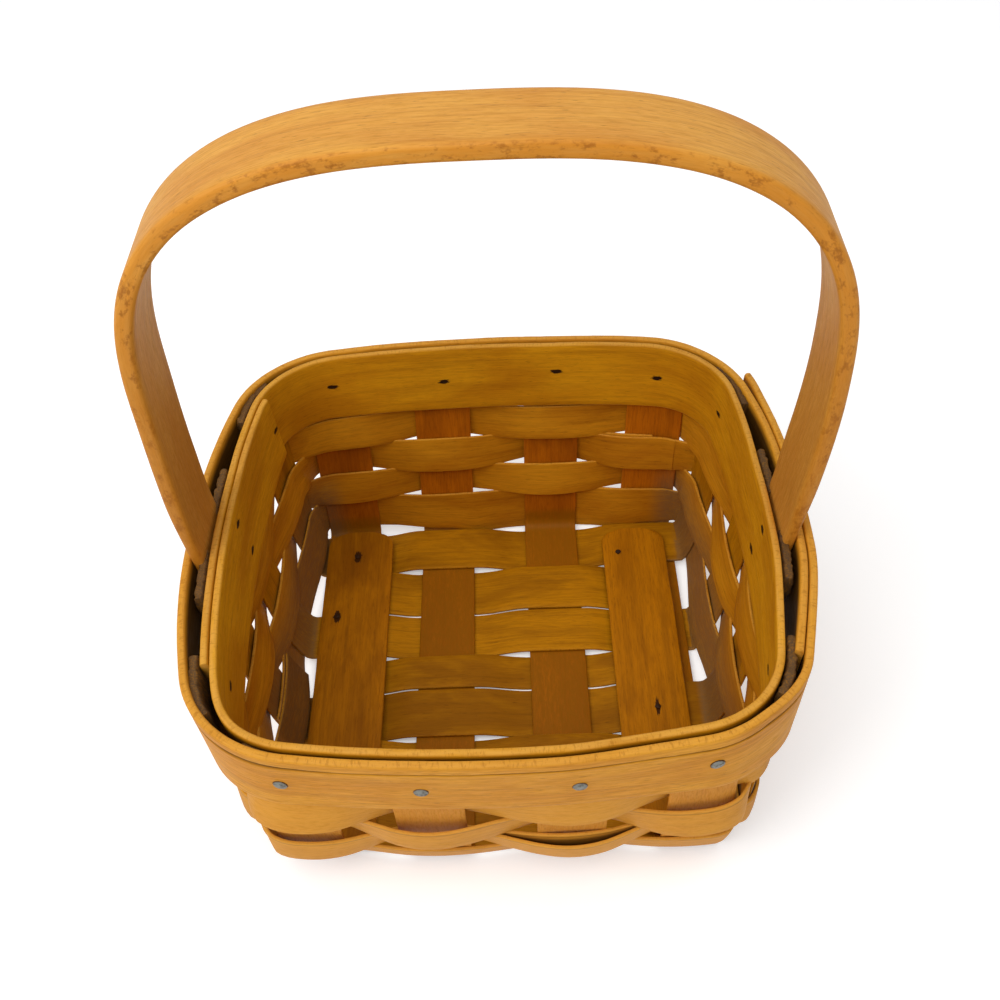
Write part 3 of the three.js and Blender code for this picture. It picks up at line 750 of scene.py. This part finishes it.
def uprights_in_order():
    places = list(LONG_STAKES.values())
    cross = [(strip_place(i), strip_width(i) / 2) for i in range(0, len(CROSS_STRIPS), 2)]
    long_half = LONG_STAKE_WIDTH / 2
    back = [("back", x, long_half) for x in places]
    right = [("right", -y, half) for y, half in cross]
    front = [("front", -x, long_half) for x in reversed(places)]
    left = [("left", y, half) for y, half in reversed(cross)]
    return back + right + front + left


UPRIGHTS = uprights_in_order()

# Rows: name, first and last place counted in uprights, which uprights lie inside, and the lap's first layer
WEAVER_ROWS = (
    ("weaver_1_top", 5, 22, 1, -1),
    ("weaver_2", 2, 19, 0, -1),
    ("weaver_3", 8.125, 25.875, 1, -1),
    ("weaver_4_bottom", 12.75, 29.5, 0, 1),
)
ON_UPRIGHT = 0.25
WEAVER_STEP = 1.5
WEAVER_RISE = (0.2, 90)
ARCH_UNEVEN = (0.06, 76)
# How far the bottom row hangs between the second and the last back upright, and over how many turns
BOTTOM_SAG = 3.4
BOTTOM_SAG_RUN = 0.3
# The third row's open lap at the front, in turns: its middle, its half length, and its middle on the
# inner end, where the row starts
OPEN_LAP_ROW = 2
OPEN_LAP = 25
OPEN_LAP_HALF = 0.75
OPEN_LAP_START = OPEN_LAP - UPRIGHT_COUNT
OPEN_LAP_DARK_HALF = 0.7
# How far the sprung end hangs down, stands off at its upper edge, and is pressed in at its lower edge
SPRUNG_DROP = 1.8
SPRUNG_STAND = 3.1
SPRUNG_PRESS = 0.9
# The painted shade: a line below the top edge, and the open laps of the third and fourth rows
LINE_PLACE = 0.9
LINE_HALF_WIDTH = 0.35
LINE_DARKNESS = 0.45
LINE_COLUMNS = (0.55, 0.75, 0.9, 1.05, 1.25)
OPEN_LAP_DARKNESS = 0.9
OPEN_LAP_DARK_TOP = 0.85
OPEN_LAP_DARK_RUN = 0.1
INNER_END_START = 28.6
INNER_END_DARKNESS = 0.3


def weaver_spot(turns, z):
    index = floor(turns + ON_UPRIGHT)
    from_middle = turns - index
    side, along, half = UPRIGHTS[index % UPRIGHT_COUNT]
    if from_middle <= ON_UPRIGHT:
        place = along + half * from_middle / ON_UPRIGHT
        return side, place + back_lean(side, along, z)
    share = (from_middle - ON_UPRIGHT) / (1 - 2 * ON_UPRIGHT)
    next_side, next_along, next_half = UPRIGHTS[(index + 1) % UPRIGHT_COUNT]
    leaving = along + half
    arriving = next_along - next_half
    if side == next_side:
        place = mix(leaving, arriving, share)
        return side, place + back_lean(side, place, z)
    corner = plan_at(z)[-1]
    distance = share * (corner - leaving + corner + arriving)
    if distance < corner - leaving:
        return side, leaving + distance
    return next_side, distance - (corner - leaving) - corner


def weaver_stand(row, index, share):
    """How far a weaver's arch stands off the wall's middle surface at an upright; share runs up its width."""
    _, start, end, outside_first, start_shift = WEAVER_ROWS[row]
    side = UPRIGHTS[index % UPRIGHT_COUNT][0]
    below, above, _ = ARCH_CHANGES.get((row, index % UPRIGHT_COUNT), (0, 0, 0))
    arch = mix(WEAVER_BOTTOM_ARCHES[side][row] + below, WEAVER_TOP_ARCH + above, share)
    sign = 1 if index % 2 == outside_first else -1
    first = ceil(start - ON_UPRIGHT)
    last = floor(end - UPRIGHT_COUNT + ON_UPRIGHT)
    shift = start_shift * WEAVER_LAYER / 2
    at_start = first <= index <= last
    at_end = first <= index - UPRIGHT_COUNT <= last
    if at_start or at_end:
        return sign * (arch + WEAVER_LAYER / 2) + (shift if at_start else -shift)
    if index < first:
        return sign * arch + 2 * shift
    if index > last + UPRIGHT_COUNT:
        return sign * arch - 2 * shift
    return sign * arch


def weaver_offset(row, turns, share):
    """A weaver runs in even waves, wider at its lower edge, which has length to spare on a flaring wall."""
    index = floor(turns)
    passed = (1 - cos(pi * (turns - index))) / 2
    return mix(weaver_stand(row, index, share), weaver_stand(row, index + 1, share), passed)


def weaver(index, seed, tone, material):
    node, start, end, _, _ = WEAVER_ROWS[index]
    top = BAND_BOTTOM - WEAVER_GAP - sum(WEAVER_WIDTHS[:index]) - WEAVER_GAP * index
    width = WEAVER_WIDTHS[index]
    centre = top - width / 2
    per_upright = plan_at(centre)[-1] * 8 / UPRIGHT_COUNT
    length = (end - start) * per_upright

    def sag(turns):
        """How much lower the lower edge lies: between all uprights, or for the bottom row at the back."""
        turns %= UPRIGHT_COUNT
        side = UPRIGHTS[floor(turns + 0.5) % UPRIGHT_COUNT][0]
        if index < 3:
            return WEAVER_FILLS[side][index] * sin(pi * turns) ** 2
        return BOTTOM_SAG * ease((turns - 1) / BOTTOM_SAG_RUN) * ease((3 - turns) / BOTTOM_SAG_RUN)

    def drop(turns):
        """How much lower the top edge lies at an arch."""
        nearest = floor(turns + 0.5)
        change = ARCH_CHANGES.get((index, nearest % UPRIGHT_COUNT), (0, 0, 0))[2]
        return change * cos(pi * (turns - nearest)) ** 2

    def sprung(turns):
        """The third row's lap stands open at the front: its outer end has sprung away from the inner one."""
        if index != OPEN_LAP_ROW or abs(turns - OPEN_LAP) >= OPEN_LAP_HALF:
            return 0.0
        return cos(pi * (turns - OPEN_LAP) / (2 * OPEN_LAP_HALF)) ** 2

    def surface(s, v):
        turns = start + s / per_upright
        share = v / width + 0.5
        swell = WEAVER_SWELL * cos(pi * turns) ** 2
        z = centre + v * (1 + 2 * swell / width) + wave(WEAVER_RISE, s, seed + 2 * index)
        z -= sag(turns) * (1 - share) + drop(turns) * share + SPRUNG_DROP * sprung(turns) * share
        side, along = weaver_spot(turns, z)
        offset = weaver_offset(index, turns, share) * (1 + wave(ARCH_UNEVEN, s, seed + index))
        return wall_point(side, along, z, offset + sprung(turns) * (SPRUNG_STAND * share - SPRUNG_PRESS))

    def shade(s, v, face):
        """A thin dark line under the top edge outside, and dark places inside the open laps."""
        turns = start + s / per_upright
        share = v / width + 0.5
        darkness = 0.0
        if face < 0:
            darkness = LINE_DARKNESS * max(0.0, 1 - abs(width / 2 - v - LINE_PLACE) / LINE_HALF_WIDTH)
            if index == OPEN_LAP_ROW and abs(turns - OPEN_LAP_START) < OPEN_LAP_DARK_HALF:
                depth = ease((OPEN_LAP_DARK_TOP - share) / OPEN_LAP_DARK_RUN)
                darkness = max(darkness, OPEN_LAP_DARKNESS * depth)
        elif index == 3 and turns > INNER_END_START:
            darkness = INNER_END_DARKNESS
        return darkness

    near_top = tuple(width / 2 - step for step in LINE_COLUMNS)
    obj = strip_object(f"weaver_splint_{index + 1}", length, WEAVER_STEP, width, surface, WEAVER_THICKNESS,
                       seed=seed, tone=tone, shade_at=shade, extra=near_top)
    return dress(obj, "weaver", material, node)


# Rim bands

INNER_BAND_ENDS = (-50, 57)
OUTER_BAND_ENDS = (-57.5, 51.7)
BAND_STEP_START = 53.5
BAND_STEP_END = 66
BAND_END_SPRING = 1.2
BAND_END_SPRING_LENGTH = 30
BAND_STEP = 1.6
BAND_EDGE = 0.7
# The split in the outer band's face: where it starts and ends along the band, and how it fades there
GROOVE_START = 40
GROOVE_END = 4 * RIM_HALF_LENGTH - 58
GROOVE_FADE = 8
GROOVE_STEEPNESS = 1.5
GROOVE_WANDER = (0.25, 70)
GROOVE_WANDER_SEED = 3.3
# It is wider by this near its ends, and shallower by a share in the middle of the front
GROOVE_WIDENING = 0.35
GROOVE_WIDE_SPAN = (45, 25)
GROOVE_MIDDLE_SHARE = 0.35
GROOVE_MIDDLE_SPAN = (62, 37)
GROOVE_COLUMNS = np.arange(3.0, 5.8, 0.23)
# The painted shade between the bands: how far below the top edges it starts, its run, and how dark it is
BAND_SHADE_START = 0.7
BAND_SHADE_RUN = 2.5
OUTER_BAND_DARKNESS = 0.93
INNER_BAND_DARKNESS = 0.85


def handle_room_at(position, first_side):
    """How far the outer band stands off at a place, to clear the handle's feet on the left and right."""
    side_number = round(position / (2 * RIM_HALF_LENGTH))
    along = position - side_number * 2 * RIM_HALF_LENGTH
    side = SIDES[(SIDES.index(first_side) + side_number) % 4]
    at_side = side in ("left", "right")
    distance = abs(along) if at_side else 2 * RIM_HALF_LENGTH - abs(along)
    near_right = side == "right" if at_side else (side == "back") == (along > 0)
    spread = RIGHT_BAND_SPREAD if near_right else LEFT_BAND_SPREAD
    start = HANDLE_WIDTH / 2 - HANDLE_PLACE
    return HANDLE_ROOM * (1 - ramp(distance, start, spread))


def inner_band_offset(position):
    start = 6 * RIM_HALF_LENGTH + BAND_STEP_END
    end = 8 * RIM_HALF_LENGTH - BAND_STEP_START
    step = ramp(position, start, end)
    return -(BAND_SEAT + INNER_BAND_THICKNESS / 2) - (INNER_BAND_THICKNESS + CLEARANCE) * step


def outer_band_offset(position):
    end = 2 * RIM_HALF_LENGTH - BAND_STEP_END
    step = 1 - ramp(position, BAND_STEP_START, end)
    spring = BAND_END_SPRING * (1 - clamp((position - OUTER_BAND_ENDS[0]) / BAND_END_SPRING_LENGTH)) ** 2
    seat = BAND_SEAT + OUTER_BAND_THICKNESS / 2 + handle_room_at(position, "right")
    return seat + (OUTER_BAND_THICKNESS + CLEARANCE) * step + spring


def band(name, first_side, ends, bottom, thickness, offset_at, seed, material, shade, relief=None, extra=()):
    start = ends[0]
    length = 8 * RIM_HALF_LENGTH + ends[1] - start

    def surface(s, v):
        position = start + s
        side_number = round(position / (2 * RIM_HALF_LENGTH))
        share = position / RIM_HALF_LENGTH - 2 * side_number
        side = SIDES[(SIDES.index(first_side) + side_number) % 4]
        z = (bottom + RIM_HEIGHT) / 2 + v
        return wall_point(side, share * plan_at(z)[-1], z, offset_at(position))

    def placed_relief(s, v, face):
        return relief(start + s, v, face) if relief else 0.0

    def placed_shade(s, v, face):
        return shade(start + s, v, face)

    obj = strip_object(f"rim_strip_{name}", length, BAND_STEP, RIM_HEIGHT - bottom, surface, thickness,
                       BAND_EDGE, spacing=BAND_STEP, seed=seed, ragged=0.08, relief=placed_relief,
                       shade_at=placed_shade, extra=extra)
    return dress(obj, "band", material, f"rim_band_{name}")


def groove_share(position, v):
    """How open the split on the outer band's face is, just below its top edge."""
    from_top = (RIM_HEIGHT - OUTER_BAND_BOTTOM) / 2 - v
    if not GROOVE_START < position < GROOVE_END:
        return 0.0
    stops = (GROOVE_START, (GROOVE_START + GROOVE_END) / 2, GROOVE_END)
    place = np.interp(position, stops, GROOVE_PLACES) + wave(GROOVE_WANDER, position, GROOVE_WANDER_SEED)
    from_end = min(position - GROOVE_START, GROOVE_END - position)
    half = GROOVE_HALF_WIDTH + GROOVE_WIDENING * ramp(from_end, *GROOVE_WIDE_SPAN)
    middle = ramp(abs(position - 2 * RIM_HALF_LENGTH), *GROOVE_MIDDLE_SPAN)
    openness = clamp(GROOVE_STEEPNESS * (1 - abs(from_top - place) / half))
    return openness * ease(from_end / GROOVE_FADE) * (1 - GROOVE_MIDDLE_SHARE * middle)


def groove(position, v, face):
    return -GROOVE_DEPTH * groove_share(position, v) if face < 0 else 0.0


def band_shade(bottom, v, darkness):
    """The faces that look into the room between the bands are painted dark below their top edges."""
    return darkness * ease(((RIM_HEIGHT - bottom) / 2 - v - BAND_SHADE_START) / BAND_SHADE_RUN)


# Painted shade: dark in the split on the outer face, and below the top edge on the inner face between the
# bands
def outer_band_shade(position, v, face):
    if face < 0:
        return groove_share(position, v)
    return band_shade(OUTER_BAND_BOTTOM, v, OUTER_BAND_DARKNESS)


def inner_band_shade(position, v, face):
    return band_shade(INNER_BAND_BOTTOM, v, INNER_BAND_DARKNESS) if face < 0 else 0.0


# Handle

FOOT_RISE = 0.5
THICKENING_HEIGHT = 22
HANDLE_STEP = 2.0
HANDLE_EDGE = 1.3


def handle_line():
    foot_offset = BAND_SEAT + HANDLE_FOOT_THICKNESS / 2
    span = HANDLE_HALF_SPAN - HANDLE_THICKNESS / 2
    rise = HANDLE_TOP - HANDLE_THICKNESS / 2 - HANDLE_SHOULDER

    def foot_x(z):
        return wall_point("right", -HANDLE_PLACE, z, foot_offset)[0] - side_shift(z)

    half = [(foot_x(z), z) for z in np.linspace(BAND_BOTTOM + FOOT_RISE, RIM_HEIGHT, num=16)]
    for z in np.linspace(RIM_HEIGHT, HANDLE_SHOULDER, num=24)[1:-1]:
        share = (HANDLE_SHOULDER - z) / (HANDLE_SHOULDER - RIM_HEIGHT)
        half.append((span - (span - foot_x(RIM_HEIGHT)) * share ** 2, z))
    power = 2 / HANDLE_CURVE
    for angle in np.linspace(0, pi / 2, num=90)[:-1]:
        half.append((span * cos(angle) ** power, HANDLE_SHOULDER + rise * sin(angle) ** power))
    points = half + [(0.0, HANDLE_SHOULDER + rise)] + [(-x, z) for x, z in reversed(half)]

    def shift(z):
        if z < RIM_HEIGHT:
            return side_shift(z)
        return mix(RIM_SHIFT, HANDLE_LEAN, ramp(z, RIM_HEIGHT, HANDLE_SHOULDER))

    return Line([(x + shift(z), HANDLE_PLACE, z) for x, z in points])


def handle(seed, material):
    line = handle_line()

    def surface(s, v):
        point = line.at(s)
        return point + np.array((0.0, v, 0.0))

    def thickness_at(s):
        z = line.at(s)[2]
        return mix(HANDLE_FOOT_THICKNESS, HANDLE_THICKNESS, ease((z - RIM_HEIGHT) / THICKENING_HEIGHT))

    obj = strip_object("handle_strip", line.length, HANDLE_STEP, HANDLE_WIDTH, surface, HANDLE_THICKNESS,
                       HANDLE_EDGE, spacing=1.8, seed=seed, ragged=0.05, thickness_at=thickness_at)
    return dress(obj, "handle", material, "handle")


# Nails

def lathe_object(name, profile, centre, direction):
    """Turns (radius, height) points about an axis that starts at a centre and runs along a direction."""
    turn = Vector((0, 0, 1)).rotation_difference(Vector(direction)).to_matrix()
    segments = 28
    angles = [2 * pi * k / segments for k in range(segments)]
    vertices = []
    faces = []
    for radius, height in profile[1:-1]:
        vertices += [Vector((radius * cos(angle), radius * sin(angle), height)) for angle in angles]
    first = len(vertices)
    top = first - segments
    for a in range(top):
        b = a - a % segments + (a + 1) % segments
        faces.append((a, b, b + segments, a + segments))
    vertices += [Vector((0, 0, profile[0][1])), Vector((0, 0, profile[-1][1]))]
    for k in range(segments):
        after = (k + 1) % segments
        faces += [(first, after, k), (first + 1, top + k, top + after)]
    mesh = bpy.data.meshes.new(name)
    mesh.from_pydata([(turn @ v + Vector(centre)) * MM for v in vertices], [], faces)
    mesh.shade_smooth()
    mesh.set_sharp_from_angle(angle=radians(40))
    return add_object(name, mesh)


NAIL_HEIGHT = 69
SIDE_BACK_NAIL = -0.075
SIDE_FRONT_NAIL = 0.44
SIDE_FRONT_NAIL_SHIFT = 2.5
HANDLE_NAILS = {
    "left_upper": (5, 76),
    "left_lower": (5.5, 63.5),
    "right_upper": (-4.5, 76),
    "right_lower": (-2, 65),
}
NAIL_PROFILE = ((0, -4.0), (0.6, -4.0), (0.6, -0.2), (1.6, -0.15), (1.85, 0.05), (1.83, 0.25), (1.55, 0.45),
                (1.0, 0.56), (0, 0.6))
# How far each nail at the front and back, from left to right, is from its nominal place: along x, and up
NAIL_DRIFTS = {
    "front": ((-0.2, -0.8), (-0.2, -1.6), (1.3, -1.3), (0.7, 0.4)),
    "back": ((0.2, 1.2), (2.8, -0.7), (3.3, 1.8), (2.2, -0.2)),
}


def rim_nails():
    """Name, side, place along the side and height of each rim nail."""
    nails = []
    for k, (name, x) in enumerate(LONG_STAKES.items()):
        for side, sign in (("front", -1), ("back", 1)):
            across, up = NAIL_DRIFTS[side][k]
            nails.append((f"rim_nail_{side}_{name}", side, sign * (x + across), NAIL_HEIGHT + up))
    for side, sign in (("left", 1), ("right", -1)):
        back = strip_place(0) + SIDE_BACK_NAIL * strip_width(0)
        front = strip_place(6) + SIDE_FRONT_NAIL * strip_width(6)
        nails.append((f"rim_nail_{side}_back", side, sign * back, NAIL_HEIGHT))
        nails.append((f"rim_nail_{side}_front", side, sign * (front - SIDE_FRONT_NAIL_SHIFT), NAIL_HEIGHT))
    for name, (y, z) in HANDLE_NAILS.items():
        side = name.split("_")[0]
        nails.append((f"handle_nail_{name}", side, y if side == "left" else -y, z))
    return nails


def nail_frame(side, along, z):
    """Where a nail's head meets the outer band, where its point meets the inner band, and its direction."""
    rim_along = along / plan_at(z)[-1] * RIM_HALF_LENGTH
    sides_from_right = {"right": 0, "front": 1, "left": 2, "back": 3}[side]
    sides_from_left = {"left": 4, "back": 1, "right": 2, "front": 3}[side]
    outer = outer_band_offset(sides_from_right * 2 * RIM_HALF_LENGTH + rim_along) + OUTER_BAND_THICKNESS / 2
    inner = inner_band_offset(sides_from_left * 2 * RIM_HALF_LENGTH + rim_along) - INNER_BAND_THICKNESS / 2
    point, outward = wall_frame(side, along, z)
    lean = (RIM_HALF - WALL_FOOT_HALF) / RIM_HEIGHT
    direction = np.array((outward[0], outward[1], -lean))
    direction /= np.linalg.norm(direction)
    return point + direction * outer, point + direction * inner, direction


def nail_marks(at_head, size, soft):
    """Dark ovals for a wood material at each nail's head or point."""
    marks = []
    for _, side, along, z in rim_nails():
        head, tip, direction = nail_frame(side, along, z)
        place = head if at_head else tip
        angle = atan2(direction[1], direction[0]) + pi / 2
        marks.append((tuple(place * MM), (0, 0, angle), tuple(value * MM for value in size), soft))
    return marks


BRAD_MARK_HALF_DEPTH = 2
BRAD_MARK_SOFT = 0.8
# The brads through the slats: place along x, which strip, place in its width, and the dark stain's half size
BRADS = {
    "left_back": (-52.2, 0, -0.24, 2.0, 4.4),
    "left_middle": (-57.8, 2, 0.4, 1.9, 4.0),
    "right_back": (43.1, 0, -0.34, 0.9, 1.5),
    "right_front": (50.4, 4, -0.11, 1.1, 5.2),
}


def brad_marks():
    level = SLAT_BOTTOM + SLAT_THICKNESS
    marks = []
    for x, strip, share, across, along in BRADS.values():
        place = (x * MM, base_place(strip_place(strip) + share * strip_width(strip)) * MM, level * MM)
        size = (across * MM, along * MM, BRAD_MARK_HALF_DEPTH * MM)
        marks.append((place, (0, 0, 0), size, BRAD_MARK_SOFT))
    return marks


# Stage

def camera():
    """The photograph's viewpoint: from the front, about 46 degrees down, with a slight roll."""
    azimuth = radians(1.18)
    elevation = radians(45.87)
    roll = radians(-2.88)
    target = Vector((0.3, 85.3, 0.0))
    distance = 466
    back = Vector((sin(azimuth) * cos(elevation), -cos(azimuth) * cos(elevation),
                   sin(elevation)))
    right = Vector((cos(azimuth), sin(azimuth), 0))
    up = back.cross(right)
    rolled_right = right * cos(roll) + up * sin(roll)
    rolled_up = -right * sin(roll) + up * cos(roll)
    data = bpy.data.cameras.new("photo_camera")
    data.sensor_width = 36
    data.lens = 43.2
    data.clip_start = 0.01
    data.clip_end = 20
    obj = add_object("photo_camera", data)
    matrix = Matrix((rolled_right, rolled_up, back)).transposed().to_4x4()
    matrix.translation = (target + back * distance) * MM
    obj.matrix_world = matrix
    bpy.context.scene.camera = obj


# The floor's own light for the rays that show the background, so that it looks white away from the basket
FLOOR_GLOW = 0.3
# The surround's strength where it isn't seen itself
SOFT_LIGHT = 0.45
# Lamps: place, size and power
LAMPS = {
    "ceiling": ((-0.1, -0.35, 1.1), 1.2, 8.0),
    "left_window": ((-0.8, -0.55, 0.85), 0.7, 5.0),
}
LAMP_AIM = (0, 0, 0.05)


def background_rays(tree):
    """1 for the rays that show the background: from the camera, in a reflection or through glass."""
    path = tree.nodes.new("ShaderNodeLightPath")
    rays = path.outputs["Is Camera Ray"]
    for name in ("Is Glossy Ray", "Is Transmission Ray"):
        either = tree.nodes.new("ShaderNodeMath")
        either.operation = "MAXIMUM"
        tree.links.new(rays, either.inputs[0])
        tree.links.new(path.outputs[name], either.inputs[1])
        rays = either.outputs[0]
    return rays


def stage():
    """A plain pale floor that looks white to the camera but keeps the basket's shadow."""
    size = 6.0
    mesh = bpy.data.meshes.new("floor")
    corners = [(-size, -size, 0), (size, -size, 0), (size, size, 0), (-size, size, 0)]
    mesh.from_pydata(corners, [], [(0, 1, 2, 3)])
    floor = add_object("floor", mesh)
    shader = Shader("floor_white", Roughness=0.9, Base_Color=(0.9, 0.9, 0.9, 1))
    strength = shader.math("MULTIPLY", background_rays(shader.tree), FLOOR_GLOW)
    glow = shader.node("Emission", Color=(1, 1, 1, 1), Strength=strength)
    total = shader.node("AddShader")
    shader.join(shader.surface.outputs[0], total.inputs[0])
    shader.join(glow.outputs[0], total.inputs[1])
    shader.join(total.outputs[0], shader.output.inputs["Surface"])
    mesh.materials.append(shader.material)


def lights():
    """A soft white surround that shows as plain white, and two soft lamps."""
    world = bpy.data.worlds.new("studio")
    bpy.context.scene.world = world
    world.use_nodes = True
    nodes = world.node_tree.nodes
    links = world.node_tree.links
    nodes.clear()
    choose = nodes.new("ShaderNodeMixShader")
    links.new(background_rays(world.node_tree), choose.inputs[0])
    for socket, strength in ((1, SOFT_LIGHT), (2, 1.0)):
        background = nodes.new("ShaderNodeBackground")
        background.inputs["Color"].default_value = (1, 1, 1, 1)
        background.inputs["Strength"].default_value = strength
        links.new(background.outputs[0], choose.inputs[socket])
    links.new(choose.outputs[0], nodes.new("ShaderNodeOutputWorld").inputs["Surface"])
    for name, (place, size, power) in LAMPS.items():
        data = bpy.data.lights.new(name, "AREA")
        data.shape = "SQUARE"
        data.size = size
        data.energy = power
        obj = add_object(name, data)
        obj.location = place
        obj.rotation_euler = (Vector(LAMP_AIM) - Vector(place)).to_track_quat("-Z", "Y").to_euler()


# The whole scene

# Places in metres, with their tint and strength: dust low inside, the lowest parts of the stakes, painted
# shade in the room between the bands, the frayed ends, painted light on the outside of the front wall, and
# painted shade on the handle's legs
DUST = ((("z", 0.036, 0.018), ("ax", 0.054, 0.063), ("out", 0.0, -0.03)), rgb(122, 90, 54), 0.8)
LOW = ((("z", 0.011, 0.007),), rgb(140, 86, 2), 0.9)
# Painted shade: the stakes are dark where they stand in the room between the bands
BAND_GAP_SHADE = ((("z", 0.0565, 0.059), ("z", 0.0745, 0.071)), rgb(24, 14, 6), 0.95)
FRAYED = ((("z", 0.069, 0.073),), rgb(70, 56, 42), 0.9)
# Painted light: the outside of the front wall is lighter, as if lit from the front
FRONT_PAINTED_LIGHT = ((("y", -0.062, -0.068),), rgb(215, 152, 62), 0.7)
# Painted shade: the handle's legs are darker lower down
LEG_PAINTED_SHADE = ((("z", 0.18, 0.12),), rgb(168, 101, 16), 0.55)
# The half size of the nails' marks, along the band, through it and up, and how soft their edges are
NAIL_POINT_MARK = ((3.2, 2.6, 1.5), 1.0)
NAIL_HEAD_MARK = ((2.3, 2.3, 2.3), 0.3)
# Base slats: place along x, width, reach to the front and to the back, seed and tone
BASE_SLATS = {
    "left": (-51.4, 23.8, 60.5, 66.2, 14.2, 0.0),
    "right": (49, 22.7, 60.5, 63.5, 15.7, 0.4),
}
# Tones darken a piece when they are below 0. The first piece of a kind has this seed, the next one 1 more
LONG_STAKE_TONES = (-0.1, 0.2, 0.0, 0.6)
CROSS_STRIP_TONES = (0.0, 0.2, 0.35, -0.2, -0.15, -0.1, 0.0)
WEAVER_TONES = (0.25, 0.0, 0.05, 0.0)
LONG_STAKE_SEED = 1.3
CROSS_STRIP_SEED = 6.1
WEAVER_SEED = 17.3
INNER_BAND_SEED = 22.4
OUTER_BAND_SEED = 23.9
HANDLE_SEED = 25.1


def build():
    stake_wood = wood("stake_wood", rgb(190, 106, 8), rgb(160, 84, 5), rgb(112, 54, 3), rgb(186, 114, 26),
                      fibre=0.3, fleck=0.3, regions=(LOW, DUST, FRONT_PAINTED_LIGHT, BAND_GAP_SHADE, FRAYED))
    base_wood = wood("base_wood", rgb(190, 126, 5), rgb(150, 94, 3), rgb(110, 64, 2), rgb(176, 116, 16),
                     fibre=0.3, fleck=0.35, regions=(DUST, BAND_GAP_SHADE, FRAYED))
    slat_wood = wood("slat_wood", rgb(184, 114, 2), rgb(142, 82, 1), rgb(106, 60, 2), rgb(170, 110, 14),
                     fibre=0.3, fleck=0.35, marks=brad_marks(), mark_colour=(0.05, 0.015, 0.001, 1.0))
    weaver_wood = wood("weaver_wood", rgb(204, 138, 22), rgb(178, 110, 12), rgb(138, 80, 10),
                       rgb(218, 158, 60), fibre=0.33, fleck=0.35, regions=(DUST, FRONT_PAINTED_LIGHT))
    inner_wood = wood("inner_band_wood", rgb(214, 150, 18), rgb(188, 122, 11), rgb(150, 90, 9),
                      rgb(220, 164, 76), fibre=0.33, marks=nail_marks(False, *NAIL_POINT_MARK))
    outer_wood = wood("outer_band_wood", rgb(218, 152, 38), rgb(202, 132, 26), rgb(158, 96, 16),
                      rgb(214, 154, 62), gloss=0.15, marks=nail_marks(True, *NAIL_HEAD_MARK),
                      mark_colour=rgb(96, 54, 22))
    handle_wood = wood("handle_wood", rgb(217, 157, 66), rgb(205, 140, 54), rgb(150, 86, 10),
                       rgb(206, 129, 20), fibre=0.28, gloss=0.22, regions=(LEG_PAINTED_SHADE,), edge_marks=(0.3, 0.8))
    for k, (name, place) in enumerate(LONG_STAKES.items()):
        long_stake(name, place, LONG_STAKE_SEED + k, LONG_STAKE_TONES[k], stake_wood)
    for k, tone in enumerate(CROSS_STRIP_TONES):
        make = cross_stake if k % 2 == 0 else base_filler
        make(k, CROSS_STRIP_SEED + k, tone, base_wood)
    for name, values in BASE_SLATS.items():
        base_slat(name, *values, slat_wood)
    for k, tone in enumerate(WEAVER_TONES):
        weaver(k, WEAVER_SEED + k, tone, weaver_wood)
    band("inner", "left", INNER_BAND_ENDS, INNER_BAND_BOTTOM, INNER_BAND_THICKNESS, inner_band_offset,
         INNER_BAND_SEED, inner_wood, inner_band_shade)
    split = tuple((RIM_HEIGHT - OUTER_BAND_BOTTOM) / 2 - place for place in GROOVE_COLUMNS)
    band("outer", "right", OUTER_BAND_ENDS, OUTER_BAND_BOTTOM, OUTER_BAND_THICKNESS, outer_band_offset,
         OUTER_BAND_SEED, outer_wood, outer_band_shade, groove, split)
    handle(HANDLE_SEED, handle_wood)
    steel = metal("nail_steel", rgb(124, 125, 119), 0.45)
    for name, side, along, z in rim_nails():
        head, _, direction = nail_frame(side, along, z)
        dress(lathe_object(f"fine_{name}", NAIL_PROFILE, head, direction), "nail", steel, name)


build()
camera()
stage()
lights()
bpy.context.scene.view_settings.view_transform = "Standard"
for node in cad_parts:
    if node.startswith("base_brad"):
        bpy.data.objects[node].data.materials.clear()
        bpy.data.objects[node].data.materials.append(metal(f"{node}_steel", rgb(62, 34, 10), 0.6))
